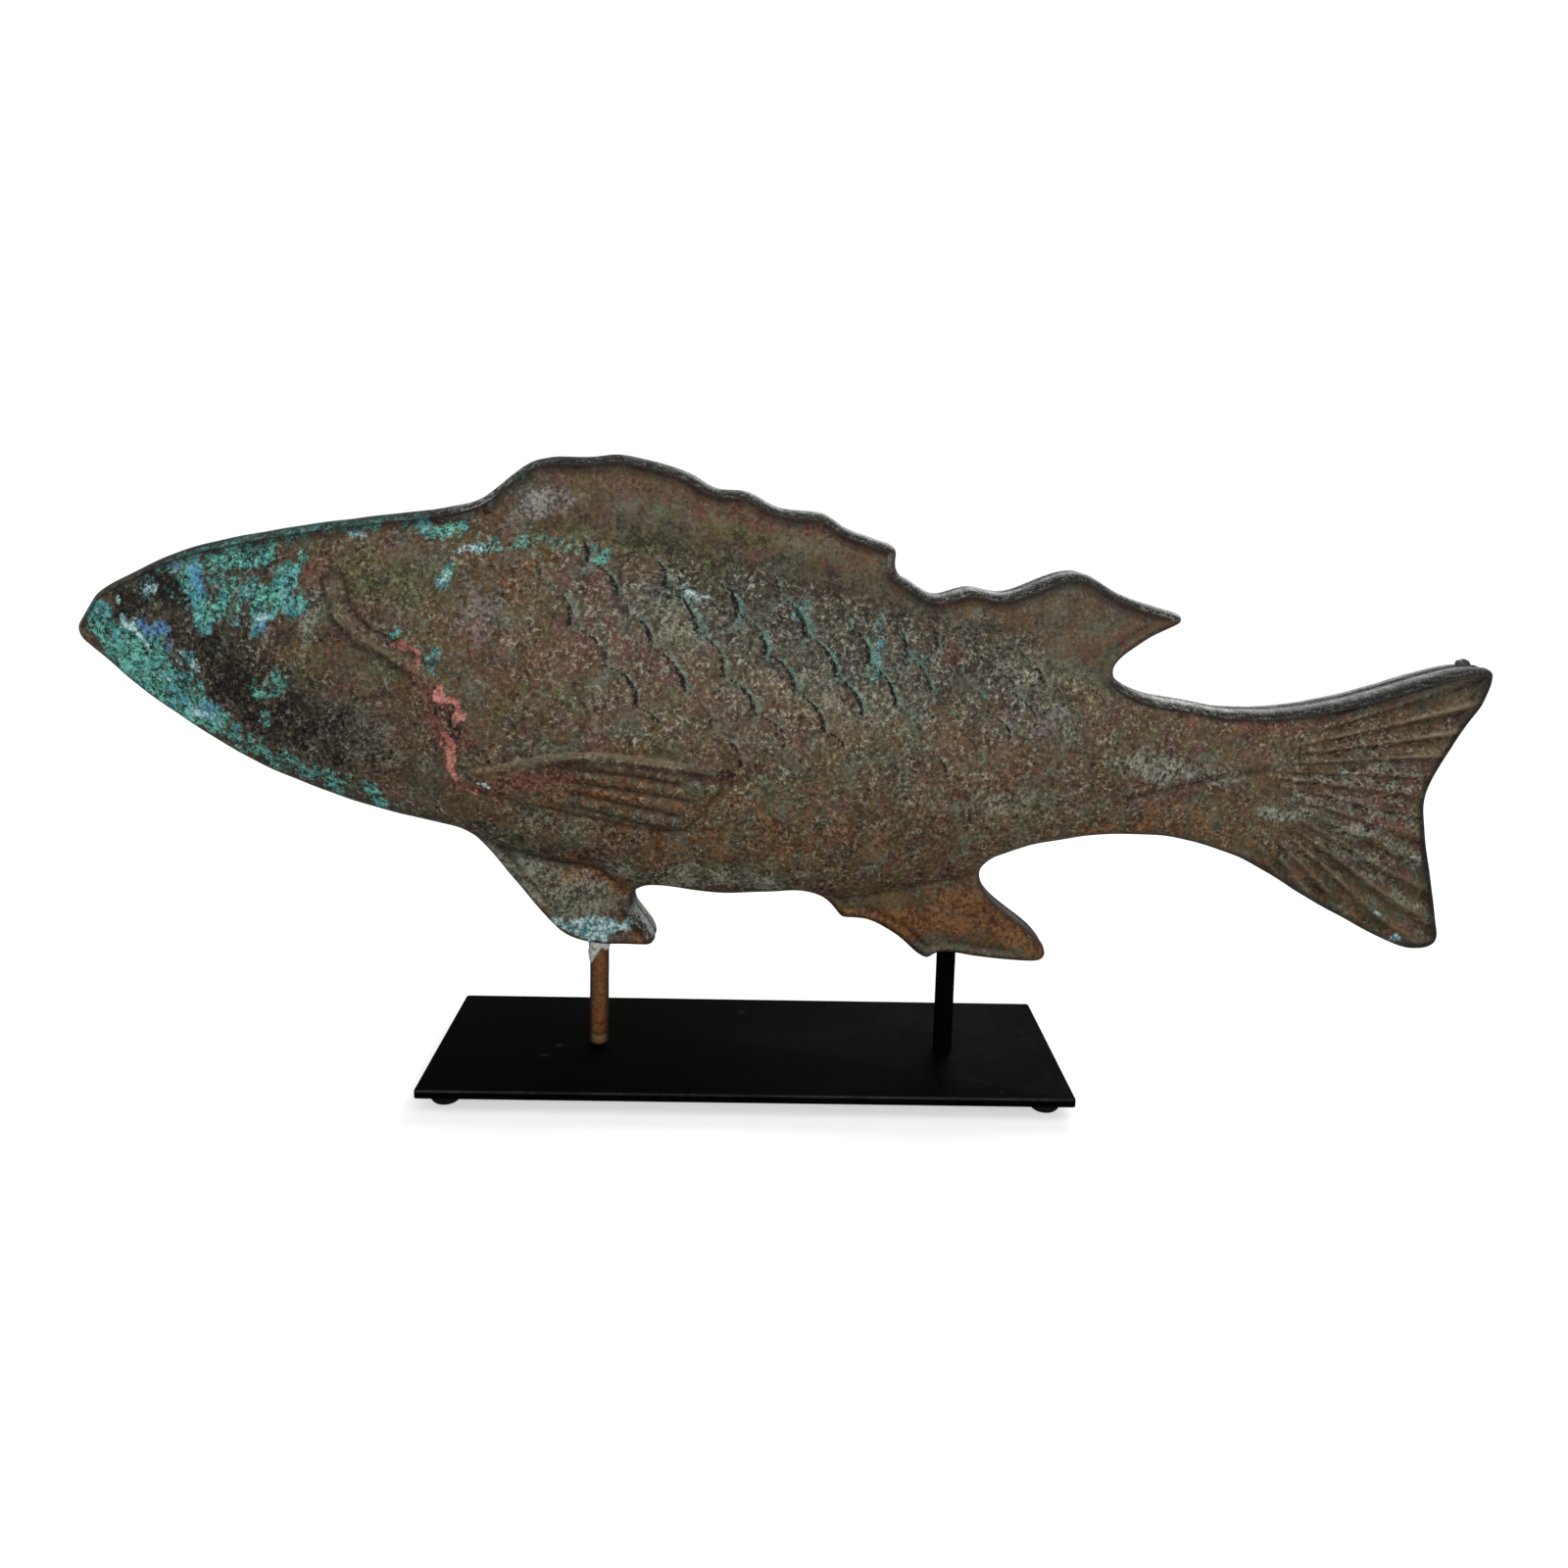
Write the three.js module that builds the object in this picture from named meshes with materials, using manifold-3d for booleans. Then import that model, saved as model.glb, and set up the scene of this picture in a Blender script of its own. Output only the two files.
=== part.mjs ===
// A copper fish on a stand: two stamped halves soldered into one closed shell along the outline,
// held by a copper post and a steel post over a black steel plate on four rubber feet.
// Millimetres, +Z up, +X from the snout to the tail, -Y towards the viewer.
// The origin lies on the surface below the feet, under the middle of the whole piece.
import * as THREE from "three";
import { mergeVertices } from "three/addons/utils/BufferGeometryUtils.js";
import Module from "manifold-3d";

// Stand
const PLATE_LENGTH = 381;
const PLATE_DEPTH = 127;
const PLATE_THICKNESS = 5;
const PLATE_CORNER = 1.5;
const PLATE_CENTRE_X = -23;
const FOOT_HEIGHT = 8;
const FOOT_RADIUS = 10;
const FOOT_FLAT_RADIUS = 6;
const FOOT_INSET = 15;
const POST_RADIUS = 6;
const POST_SIDES = 36;
const FRONT_POST_X = -116;
const REAR_POST_X = 99;
const POST_TOP_Z = 98;
const SOCKET_GAP = 0.3;

// Fish
const SEAM_HALF = 5; // half the width of the soldered seam round the outline
const FIN_HALF = 15; // half the thickness of the fins and the tail
const SHOULDER = 6; // how far in from the outline the rounded edge reaches the face
const TOP_SWELL_POWER = 1; // the back runs softly into the fins above it
const BELLY_SWELL_POWER = 0.6; // the belly stands out from the fins below it with a crease
const GILL_STEP = 3;
const GILL_EDGE = 1.5; // half the width over which the gill cover drops
const GILL_FADE = 36;
const GILL_LOW_END = [145, 175]; // heights between which the gill cover's edge fades in and out
const GILL_HIGH_END = [295, 325];
const PECTORAL_RISE = 4;
const PECTORAL_EDGE = 3; // width over which the pectoral fin rises from the flank
const PECTORAL_RAYS = 5;
const PECTORAL_RAY_RISE = 0.9;
const PECTORAL_TIP_X = -40;
const FLUTE_ROOT = [247, 198];
const FLUTE_ANGLE = THREE.MathUtils.degToRad(5.3);
const FLUTE_RISE = 2;
const FLUTE_START = 40;
const FLUTE_FULL = 95;
const FLUTE_HALF_TURNS = [-13, 7]; // the flutes' crests and hollows, from the lowest to the highest

// Net of points that carries the two faces
const RIM_STEP = 6.5;
const GRID_STEP = 12.5;
const FEATURE_STEP = 11;
const FEATURE_GAP = 2.5;

// The outline, stretch by stretch, from the snout over the back to the tail and home under the belly.
// Each stretch is a smooth curve, and stretches meet at the corners of the outline.
const OUTLINE = {
  headTop: [
    [-421, 270], [-415, 277], [-410, 288], [-390, 301], [-357, 316], [-313, 327], [-254, 337],
    [-205, 344], [-187, 349], [-165, 366], [-155, 372], [-142, 375],
  ],
  frontDorsalFin: [
    [-142, 375], [-123, 375], [-105, 377], [-80, 372], [-62, 366], [-50, 359], [-30, 357],
    [-11, 348], [16, 345], [27, 338], [49, 330], [56, 328], [59, 324],
  ],
  dorsalStep: [[59, 324], [58, 316], [60, 311]],
  rearDorsalFin: [
    [60, 311], [70, 305], [81, 299], [102, 304], [122, 301], [144, 309], [157, 314], [166, 315],
    [175, 312], [192, 302], [222, 293], [229, 291], [231, 288],
  ],
  saddle: [
    [231, 288], [196, 264], [191, 258], [191, 252], [199, 247], [214, 241], [235, 238], [258, 234],
    [285, 234], [305, 236], [340, 244], [381, 257], [407, 263], [421, 262],
  ],
  tailEnd: [
    [421, 262], [416, 254], [412, 240], [406, 226], [394, 202], [388, 189], [386, 178], [390, 152],
    [395, 130], [401, 101], [402, 95],
  ],
  tailUnderside: [
    [402, 95], [400, 89], [395, 86], [384, 85], [371, 89], [347, 101], [317, 117], [297, 129],
    [279, 139], [257, 147], [238, 152], [221, 154], [190, 154], [170, 151], [145, 146], [123, 138],
  ],
  analFinRear: [[123, 138], [116, 131], [117, 125], [124, 114], [151, 92], [159, 82], [160, 78]],
  analFinTip: [[160, 78], [157, 74], [118, 75], [101, 78], [92, 78], [86, 73]],
  analFinFront: [[86, 73], [79, 77], [65, 89], [47, 98], [32, 99]],
  belly: [
    [32, 99], [21, 111], [8, 115], [-16, 114], [-42, 113], [-87, 117], [-94, 114], [-94, 106],
    [-82, 89], [-80, 82],
  ],
  pelvicFin: [
    [-80, 82], [-89, 80], [-119, 80], [-135, 85], [-144, 92], [-166, 118], [-190, 146],
    [-200, 151],
  ],
  throat: [
    [-200, 151], [-254, 164], [-294, 178], [-328, 194], [-382, 230], [-407, 252], [-417, 263],
    [-421, 270],
  ],
};

// Lines over the face, each a height or a depth read at one x (the gill line is read at one z).
const BODY_TOP = [
  [-421, 273], [-410, 288], [-357, 316], [-313, 327], [-254, 337], [-205, 344], [-144, 338],
  [-65, 323], [-8, 313], [67, 292], [137, 267], [191, 250], [258, 235], [319, 238],
];
const BODY_BOTTOM = [
  [-421, 267], [-382, 230], [-328, 194], [-254, 164], [-200, 151], [-173, 142], [-144, 134],
  [-117, 130], [-94, 115], [-16, 114], [32, 114], [79, 123], [117, 132], [170, 151], [238, 152],
  [319, 140],
];
const BODY_HALF = [
  [-421, 14], [-401, 20], [-351, 28], [-301, 34], [-241, 38], [-161, 41], [-61, 41], [19, 38],
  [99, 32], [179, 24], [249, 18], [309, FIN_HALF],
];
const PECTORAL_TOP = [[-191, 193], [-174, 196], [-152, 202], [-118, 206], [-73, 202], [-40, 197]];
const PECTORAL_BOTTOM = [[-191, 186], [-174, 178], [-141, 170], [-96, 162], [-62, 160], [-40, 186]];
const GILL_LINE = [
  [150, -173], [170, -179], [183, -185], [192, -194], [215, -196], [234, -200], [251, -213],
  [262, -230], [284, -260], [311, -270],
];

const BROWN_COPPER = { color: 0x55463a, roughness: 0.6, metalness: 0.7 };
const WORN_COPPER = { color: 0x7a5234, roughness: 0.45, metalness: 0.85 };
const BLACK_PAINT = { color: 0x0d0d0d, roughness: 0.4, metalness: 0.1 };
const BLACK_RUBBER = { color: 0x101010, roughness: 0.85, metalness: 0 };

const PLATE_BOTTOM_Z = FOOT_HEIGHT;
const PLATE_TOP_Z = PLATE_BOTTOM_Z + PLATE_THICKNESS;

const wasm = await Module();
wasm.setup();

function clamp01(value) {
  return Math.min(Math.max(value, 0), 1);
}

function smooth(from, to, value) {
  const s = clamp01((value - from) / (to - from));
  return s * s * (3 - 2 * s);
}

// A smooth line through [place, value] pairs, read at one place.
function readLine(line, place) {
  const last = line.length - 1;
  if (place <= line[0][0]) return line[0][1];
  if (place >= line[last][0]) return line[last][1];
  const i = line.findIndex((point) => point[0] > place) - 1;
  const slope = (k) => {
    const before = line[Math.max(k - 1, 0)];
    const after = line[Math.min(k + 1, last)];
    return (after[1] - before[1]) / (after[0] - before[0]);
  };
  const span = line[i + 1][0] - line[i][0];
  const s = (place - line[i][0]) / span;
  const rise = line[i + 1][1] - line[i][1];
  const start = slope(i) * span;
  const end = slope(i + 1) * span;
  return line[i][1] + s * (start + s * (3 * rise - 2 * start - end + s * (start + end - 2 * rise)));
}

// Points along one stretch of the outline: every given point and even steps between them.
function samplePath(corners, step) {
  const curve = new THREE.CatmullRomCurve3(
    corners.map(([x, z]) => new THREE.Vector3(x, 0, z)), false, "centripetal",
  );
  const spans = corners.length - 1;
  const points = [];
  for (let i = 0; i < spans; i++) {
    const [dx, dz] = [0, 1].map((axis) => corners[i + 1][axis] - corners[i][axis]);
    const parts = Math.max(1, Math.round(Math.hypot(dx, dz) / step));
    for (let k = 0; k < parts; k++) {
      const at = curve.getPoint((i + k / parts) / spans);
      points.push([at.x, at.z]);
    }
  }
  return points;
}

const outline = Object.values(OUTLINE).flatMap((stretch) => samplePath(stretch, RIM_STEP));
const [LEFT, RIGHT] = [Math.min, Math.max].map((end) => end(...outline.map(([x]) => x)));
const [BOTTOM, TOP] = [Math.min, Math.max].map((end) => end(...outline.map(([, z]) => z)));

function distanceToOutline(x, z) {
  let nearest = Infinity;
  outline.forEach(([ax, az], i) => {
    const [bx, bz] = outline[(i + 1) % outline.length];
    const length2 = (bx - ax) ** 2 + (bz - az) ** 2;
    const s = clamp01(((x - ax) * (bx - ax) + (z - az) * (bz - az)) / length2);
    nearest = Math.min(nearest, Math.hypot(ax + s * (bx - ax) - x, az + s * (bz - az) - z));
  });
  return nearest;
}

function insideOutline(x, z) {
  let inside = false;
  outline.forEach(([ax, az], i) => {
    const [bx, bz] = outline[(i + 1) % outline.length];
    if (az > z !== bz > z && x < ax + ((z - az) * (bx - ax)) / (bz - az)) inside = !inside;
  });
  return inside;
}

// The swelling of the body over the flat fins, 0 outside it and 1 along its middle.
function bodySwell(x, z) {
  const top = readLine(BODY_TOP, x);
  const bottom = readLine(BODY_BOTTOM, x);
  const across = (2 * z - top - bottom) / (top - bottom);
  const power = across > 0 ? TOP_SWELL_POWER : BELLY_SWELL_POWER;
  return Math.max(1 - across * across, 0) ** power;
}

// The gill cover: the cheek stands out, then drops at a curved edge to the flank behind.
function gillCover(x, z) {
  const ahead = readLine(GILL_LINE, z) - x;
  const ends = smooth(...GILL_LOW_END, z) * (1 - smooth(...GILL_HIGH_END, z));
  const drop = smooth(-GILL_EDGE, GILL_EDGE, ahead);
  return GILL_STEP * ends * drop * Math.exp(-Math.max(ahead, 0) / GILL_FADE);
}

// The pectoral fin: a low pad on the flank with rays along it.
function pectoralFin(x, z) {
  const top = readLine(PECTORAL_TOP, x);
  const bottom = readLine(PECTORAL_BOTTOM, x);
  const rootX = PECTORAL_TOP[0][0] - PECTORAL_EDGE;
  const inFromEdge = Math.min(top - z, z - bottom, PECTORAL_TIP_X - x, x - rootX);
  const rays = PECTORAL_RAY_RISE * Math.cos((2 * Math.PI * PECTORAL_RAYS * (z - bottom)) / (top - bottom));
  return smooth(0, PECTORAL_EDGE, inFromEdge) * (PECTORAL_RISE + rays);
}

// The flutes of the tail fan out from the tail root.
function tailFlutes(x, z) {
  const [rootX, rootZ] = FLUTE_ROOT;
  const reach = Math.hypot(x - rootX, z - rootZ);
  const turn = Math.atan2(z - rootZ, x - rootX);
  const grown = x > rootX ? smooth(FLUTE_START, FLUTE_FULL, reach) : 0;
  return FLUTE_RISE * grown * Math.cos((2 * Math.PI * turn) / FLUTE_ANGLE);
}

// Half the thickness of the fish at one place of its side view.
function halfThickness(x, z) {
  const shoulder = clamp01(distanceToOutline(x, z) / SHOULDER);
  const round = Math.sqrt(1 - (1 - shoulder) ** 2);
  const swell = (readLine(BODY_HALF, x) - FIN_HALF) * bodySwell(x, z);
  const relief = gillCover(x, z) + pectoralFin(x, z) + tailFlutes(x, z);
  return SEAM_HALF + round * (FIN_HALF - SEAM_HALF + shoulder * (swell + relief));
}

// Points a given way in from the outline, left out where another stretch of it is nearer.
function ringInside(depth, stagger) {
  const ring = [];
  outline.forEach(([ax, az], i) => {
    const [bx, bz] = outline[(i + 1) % outline.length];
    const length = Math.hypot(bx - ax, bz - az);
    const x = ax + stagger * (bx - ax) + (depth * (bz - az)) / length;
    const z = az + stagger * (bz - az) - (depth * (bx - ax)) / length;
    const clear = ring.every(([rx, rz]) => Math.hypot(rx - x, rz - z) > depth / 2);
    if (clear && insideOutline(x, z) && distanceToOutline(x, z) > 0.95 * depth) ring.push([x, z]);
  });
  return ring;
}

// Points along the lines of the relief, so that the net folds where the metal does.
function featurePoints() {
  const points = [];
  const gillEdge = GILL_LINE.map(([z, x]) => [x, z]);
  for (const side of [-GILL_EDGE, GILL_EDGE]) {
    samplePath(gillEdge, FEATURE_STEP).forEach(([x, z]) => points.push([x + side, z]));
  }
  for (const [line, inward] of [[PECTORAL_TOP, -PECTORAL_EDGE], [PECTORAL_BOTTOM, PECTORAL_EDGE]]) {
    samplePath(line, FEATURE_STEP).forEach(([x, z]) => points.push([x, z], [x, z + inward]));
  }
  const [lowest, highest] = FLUTE_HALF_TURNS;
  for (let half = lowest; half <= highest; half++) {
    const turn = (half * FLUTE_ANGLE) / 2;
    for (let reach = FLUTE_FULL; FLUTE_ROOT[0] + reach < RIGHT; reach += FEATURE_STEP) {
      points.push([FLUTE_ROOT[0] + reach * Math.cos(turn), FLUTE_ROOT[1] + reach * Math.sin(turn)]);
    }
  }
  return points;
}

function netPoints() {
  const points = [...outline, ...ringInside(0.3 * SHOULDER, 0), ...ringInside(SHOULDER, 0)];
  const clear = ([x, z], gap) => points.every(([px, pz]) => Math.hypot(px - x, pz - z) > gap);
  const add = (point, gap) => {
    const within = insideOutline(...point) && distanceToOutline(...point) > SHOULDER + gap / 2;
    if (within && clear(point, gap)) points.push(point);
  };
  featurePoints().forEach((point) => add(point, FEATURE_GAP));
  const rowStep = GRID_STEP * Math.sqrt(0.75);
  for (let row = 0; BOTTOM + row * rowStep < TOP; row++) {
    for (let x = LEFT + ((row % 2) * GRID_STEP) / 2; x < RIGHT; x += GRID_STEP) {
      add([x, BOTTOM + row * rowStep], 0.6 * GRID_STEP);
    }
  }
  return points;
}

function withCircle(points, a, b, c) {
  const [[ax, az], [bx, bz], [cx, cz]] = [points[a], points[b], points[c]];
  const d = 2 * ((bx - ax) * (cz - az) - (bz - az) * (cx - ax));
  const b2 = (bx - ax) ** 2 + (bz - az) ** 2;
  const c2 = (cx - ax) ** 2 + (cz - az) ** 2;
  const ux = ((cz - az) * b2 - (bz - az) * c2) / d;
  const uz = ((bx - ax) * c2 - (cx - ax) * b2) / d;
  return { corners: [a, b, c], x: ax + ux, z: az + uz, radius2: ux * ux + uz * uz };
}

// Triangles over the points, none with another point inside its circle.
function triangulate(points) {
  const count = points.length;
  const far = 20000;
  const all = [...points, [-far, -far], [far, -far], [0, far]];
  let triangles = [withCircle(all, count, count + 1, count + 2)];
  points.forEach(([x, z], i) => {
    const hit = (t) => (t.x - x) ** 2 + (t.z - z) ** 2 < t.radius2;
    const edges = new Map();
    for (const { corners } of triangles.filter(hit)) {
      corners.forEach((p, k) => {
        const q = corners[(k + 1) % 3];
        if (!edges.delete(`${q} ${p}`)) edges.set(`${p} ${q}`, [p, q]);
      });
    }
    triangles = triangles.filter((t) => !hit(t));
    for (const [p, q] of edges.values()) triangles.push(withCircle(all, p, q, i));
  });
  return triangles.map((t) => t.corners).filter((corners) => Math.max(...corners) < count);
}

function fishGeometry() {
  const points = netPoints();
  const faces = triangulate(points).filter((corners) => {
    const [x, z] = [0, 1].map((axis) => corners.reduce((sum, k) => sum + points[k][axis] / 3, 0));
    return insideOutline(x, z);
  });
  const count = points.length;
  const rim = outline.length;
  const half = points.map(([x, z], k) => (k < rim ? SEAM_HALF : halfThickness(x, z)));
  const positions = [
    ...points.flatMap(([x, z], k) => [x, -half[k], z]),
    ...points.flatMap(([x, z], k) => [x, half[k], z]),
  ];
  const index = faces.flatMap(([a, b, c]) => [a, b, c, a + count, c + count, b + count]);
  for (let k = 0; k < rim; k++) {
    const next = (k + 1) % rim;
    index.push(k, next, next + count, k, next + count, k + count);
  }
  const geometry = new THREE.BufferGeometry();
  geometry.setAttribute("position", new THREE.Float32BufferAttribute(positions, 3));
  geometry.setIndex(index);
  return geometry;
}

function solidOf(geometry) {
  const bare = geometry.clone();
  bare.deleteAttribute("normal");
  bare.deleteAttribute("uv");
  const merged = mergeVertices(bare, 1e-4);
  return new wasm.Manifold(new wasm.Mesh({
    numProp: 3,
    vertProperties: new Float32Array(merged.attributes.position.array),
    triVerts: new Uint32Array(merged.index.array),
  }));
}

function geometryOf(solid) {
  const { vertProperties, triVerts } = solid.getMesh();
  const geometry = new THREE.BufferGeometry();
  geometry.setAttribute("position", new THREE.BufferAttribute(vertProperties, 3));
  geometry.setIndex(new THREE.BufferAttribute(triVerts, 1));
  geometry.computeVertexNormals();
  return geometry;
}

function uprightCylinder(radius, bottom, top) {
  const cylinder = new THREE.CylinderGeometry(radius, radius, top - bottom, POST_SIDES);
  return cylinder.rotateX(Math.PI / 2).translate(0, 0, (top + bottom) / 2);
}

// A post stands on the plate and ends against the top of its socket in the fish.
function post() {
  return uprightCylinder(POST_RADIUS, PLATE_TOP_Z, POST_TOP_Z);
}

// The fish with the two sockets in its lower fins that the posts go up into.
function fish() {
  let solid = solidOf(fishGeometry());
  for (const x of [FRONT_POST_X, REAR_POST_X]) {
    const socket = uprightCylinder(POST_RADIUS + SOCKET_GAP, PLATE_TOP_Z, POST_TOP_Z);
    solid = solid.subtract(solidOf(socket.translate(x, 0, 0)));
  }
  return geometryOf(solid);
}

function plate() {
  const shape = new THREE.Shape();
  const [x, y, r] = [PLATE_LENGTH / 2, PLATE_DEPTH / 2, PLATE_CORNER];
  shape.absarc(x - r, y - r, r, 0, Math.PI / 2);
  shape.absarc(r - x, y - r, r, Math.PI / 2, Math.PI);
  shape.absarc(r - x, r - y, r, Math.PI, 1.5 * Math.PI);
  shape.absarc(x - r, r - y, r, 1.5 * Math.PI, 2 * Math.PI);
  return new THREE.ExtrudeGeometry(shape, { depth: PLATE_THICKNESS, bevelEnabled: false, curveSegments: 6 });
}

// A low rubber dome with a flat sole, stuck under the plate by its wide flat side.
function foot() {
  const bulge = new THREE.EllipseCurve(
    FOOT_FLAT_RADIUS, FOOT_HEIGHT, FOOT_RADIUS - FOOT_FLAT_RADIUS, FOOT_HEIGHT, -Math.PI / 2, 0,
  );
  const profile = [new THREE.Vector2(0, 0), ...bulge.getPoints(5), new THREE.Vector2(0, FOOT_HEIGHT)];
  return new THREE.LatheGeometry(profile, 24).rotateX(Math.PI / 2);
}

const group = new THREE.Group();

function addPiece(name, geometry, finish, place = [0, 0, 0]) {
  const mesh = new THREE.Mesh(geometry, new THREE.MeshStandardMaterial(finish));
  mesh.name = name;
  mesh.position.set(...place);
  group.add(mesh);
}

addPiece("fish", fish(), BROWN_COPPER);
addPiece("front_post", post(), WORN_COPPER, [FRONT_POST_X, 0, 0]);
addPiece("rear_post", post(), BLACK_PAINT, [REAR_POST_X, 0, 0]);
addPiece("base_plate", plate(), BLACK_PAINT, [PLATE_CENTRE_X, 0, PLATE_BOTTOM_Z]);
for (const [row, y] of [["front", -1], ["back", 1]]) {
  for (const [side, x] of [["left", -1], ["right", 1]]) {
    addPiece(`foot_${row}_${side}`, foot(), BLACK_RUBBER, [
      PLATE_CENTRE_X + x * (PLATE_LENGTH / 2 - FOOT_INSET),
      y * (PLATE_DEPTH / 2 - FOOT_INSET),
      0,
    ]);
  }
}

export default group;
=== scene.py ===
# %% [markdown]
# # A copper fish on two posts
# The fish is a folk-art ornament made like a weathervane. Two sheets of copper are stamped in a
# die, one for each side, and soldered together along the outline. The metal is only about a
# millimetre thick, so the swelling body, the scales and the rays of the fins are all pressed
# relief, and years of weather have laid brown, black, turquoise and pink over it.
# This lesson builds the skin of the fish from the plain CAD solid, then its age, then the stand.
# Lengths are written in millimetres and turned into metres where a mesh is made.

# %% Load the frame
import math

import bmesh
import bpy
import numpy as np
from mathutils import Matrix, Vector, kdtree
from mathutils.geometry import delaunay_2d_cdt


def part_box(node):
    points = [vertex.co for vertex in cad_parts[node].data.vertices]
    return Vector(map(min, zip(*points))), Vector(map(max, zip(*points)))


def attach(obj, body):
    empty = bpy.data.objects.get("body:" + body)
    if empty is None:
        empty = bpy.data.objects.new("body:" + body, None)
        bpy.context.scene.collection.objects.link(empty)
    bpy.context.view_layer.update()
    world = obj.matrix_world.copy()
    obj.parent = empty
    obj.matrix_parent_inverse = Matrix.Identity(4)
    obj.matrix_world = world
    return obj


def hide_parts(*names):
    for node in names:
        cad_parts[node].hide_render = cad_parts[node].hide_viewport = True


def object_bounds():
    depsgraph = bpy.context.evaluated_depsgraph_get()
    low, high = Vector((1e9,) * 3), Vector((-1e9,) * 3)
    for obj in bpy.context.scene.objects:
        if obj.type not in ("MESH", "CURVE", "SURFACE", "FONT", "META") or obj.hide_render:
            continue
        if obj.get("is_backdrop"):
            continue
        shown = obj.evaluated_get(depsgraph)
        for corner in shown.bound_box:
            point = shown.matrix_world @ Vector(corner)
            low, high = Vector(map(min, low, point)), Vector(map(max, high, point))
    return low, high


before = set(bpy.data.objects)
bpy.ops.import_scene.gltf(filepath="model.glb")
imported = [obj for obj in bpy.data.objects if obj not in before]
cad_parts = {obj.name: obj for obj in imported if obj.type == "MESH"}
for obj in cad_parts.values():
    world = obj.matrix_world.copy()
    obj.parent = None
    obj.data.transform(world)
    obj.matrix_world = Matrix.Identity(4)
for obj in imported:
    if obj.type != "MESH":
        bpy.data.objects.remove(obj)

MM = 0.001
CAD_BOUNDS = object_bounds()
print("CAD box, mm:", [[round(v / MM, 1) for v in corner] for corner in CAD_BOUNDS])

# %% [markdown]
# ## The camera
# A camera is a place, a direction and a lens. The plate's four corners and the two posts fix all
# three: the lens stands 70 cm in front of the fish at the height of its back, and looks down by
# seven degrees. The picture was then cropped a little high, which is what the shift says.

# %% Place the camera
PICTURE_WIDTH = 1600
FOCAL_LENGTH_PIXELS = 1222.4
LENS_HEIGHT_IN_PICTURE = 640
SENSOR = 36
CAMERA_PLACE = (-22.7, -712.2, 367.1)
CAMERA_PITCH = 0.1266
CAMERA_YAW = 0.0221
CAMERA_ROLL = -0.0251


def camera_turn(pitch, yaw, roll):
    """The turn of a camera that looks along +Y, then down, to the right and tilted."""
    ahead = Vector((
        math.sin(yaw) * math.cos(pitch),
        math.cos(yaw) * math.cos(pitch),
        -math.sin(pitch),
    ))
    level = Vector((math.cos(yaw), -math.sin(yaw), 0))
    down = ahead.cross(level)
    right = math.cos(roll) * level + math.sin(roll) * down
    below = math.cos(roll) * down - math.sin(roll) * level
    return Matrix((right, -below, -ahead)).transposed()


lens = bpy.data.cameras.new("camera")
lens.sensor_width = SENSOR
lens.lens = SENSOR * FOCAL_LENGTH_PIXELS / PICTURE_WIDTH
lens.shift_y = (LENS_HEIGHT_IN_PICTURE - PICTURE_WIDTH / 2) / PICTURE_WIDTH
camera = bpy.data.objects.new("camera", lens)
camera.matrix_world = (
    Matrix.Translation(Vector(CAMERA_PLACE) * MM)
    @ camera_turn(CAMERA_PITCH, CAMERA_YAW, CAMERA_ROLL).to_4x4()
)
bpy.context.scene.collection.objects.link(camera)
bpy.context.scene.camera = camera
print("lens, mm:", round(lens.lens, 2), "shift:", lens.shift_y)

# %% [markdown]
# ## Small tools for shapes
# Five helpers carry most of the sculpting. `smooth` is a soft step and `hill` a soft ridge.
# `read_line` reads a height off a drawn line, `near_path` measures how far a point is from a drawn
# path, and `cloud` is soft lumpy noise from a fixed seed. They all take whole arrays of points at
# once.

# %% Soft steps, lines and paths


def smooth(low, high, value):
    """0 below low, 1 above high, and a soft S between them."""
    share = np.clip((value - low) / (high - low), 0, 1)
    return share * share * (3 - 2 * share)


def hill(value, at, half):
    """1 where the value is at its mark, and less the further off it is on either side."""
    return np.exp(-(((value - at) / half) ** 2))


def bend(s, rise, start, end):
    """How far a curve has risen at share s of its way, from its slopes at the start and end."""
    return s * (start + s * (3 * rise - 2 * start - end + s * (start + end - 2 * rise)))


def read_line(line, place):
    """A smooth line through [place, value] pairs, read at many places."""
    at, value = np.array(line, float).T
    before = np.r_[0, np.arange(len(at) - 1)]
    after = np.r_[np.arange(1, len(at)), len(at) - 1]
    slope = (value[after] - value[before]) / (at[after] - at[before])
    place = np.clip(place, at[0], at[-1])
    i = np.clip(np.searchsorted(at, place, side="right") - 1, 0, len(at) - 2)
    span = at[i + 1] - at[i]
    rise = value[i + 1] - value[i]
    return value[i] + bend((place - at[i]) / span, rise, slope[i] * span, slope[i + 1] * span)


def near_path(path, x, z):
    """Distance from a path, and how far along it from 0 to 1, for many points."""
    path = np.array(path, float)
    lengths = np.hypot(*np.diff(path, axis=0).T)
    passed = np.r_[0, np.cumsum(lengths)]
    gap = np.full(np.shape(x), np.inf)
    along = np.zeros(np.shape(x))
    for (ax, az), (bx, bz), length, start in zip(path, path[1:], lengths, passed):
        s = np.clip(((x - ax) * (bx - ax) + (z - az) * (bz - az)) / length**2, 0, 1)
        here = np.hypot(ax + s * (bx - ax) - x, az + s * (bz - az) - z)
        along = np.where(here < gap, (start + s * length) / passed[-1], along)
        gap = np.minimum(gap, here)
    return gap, along


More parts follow.
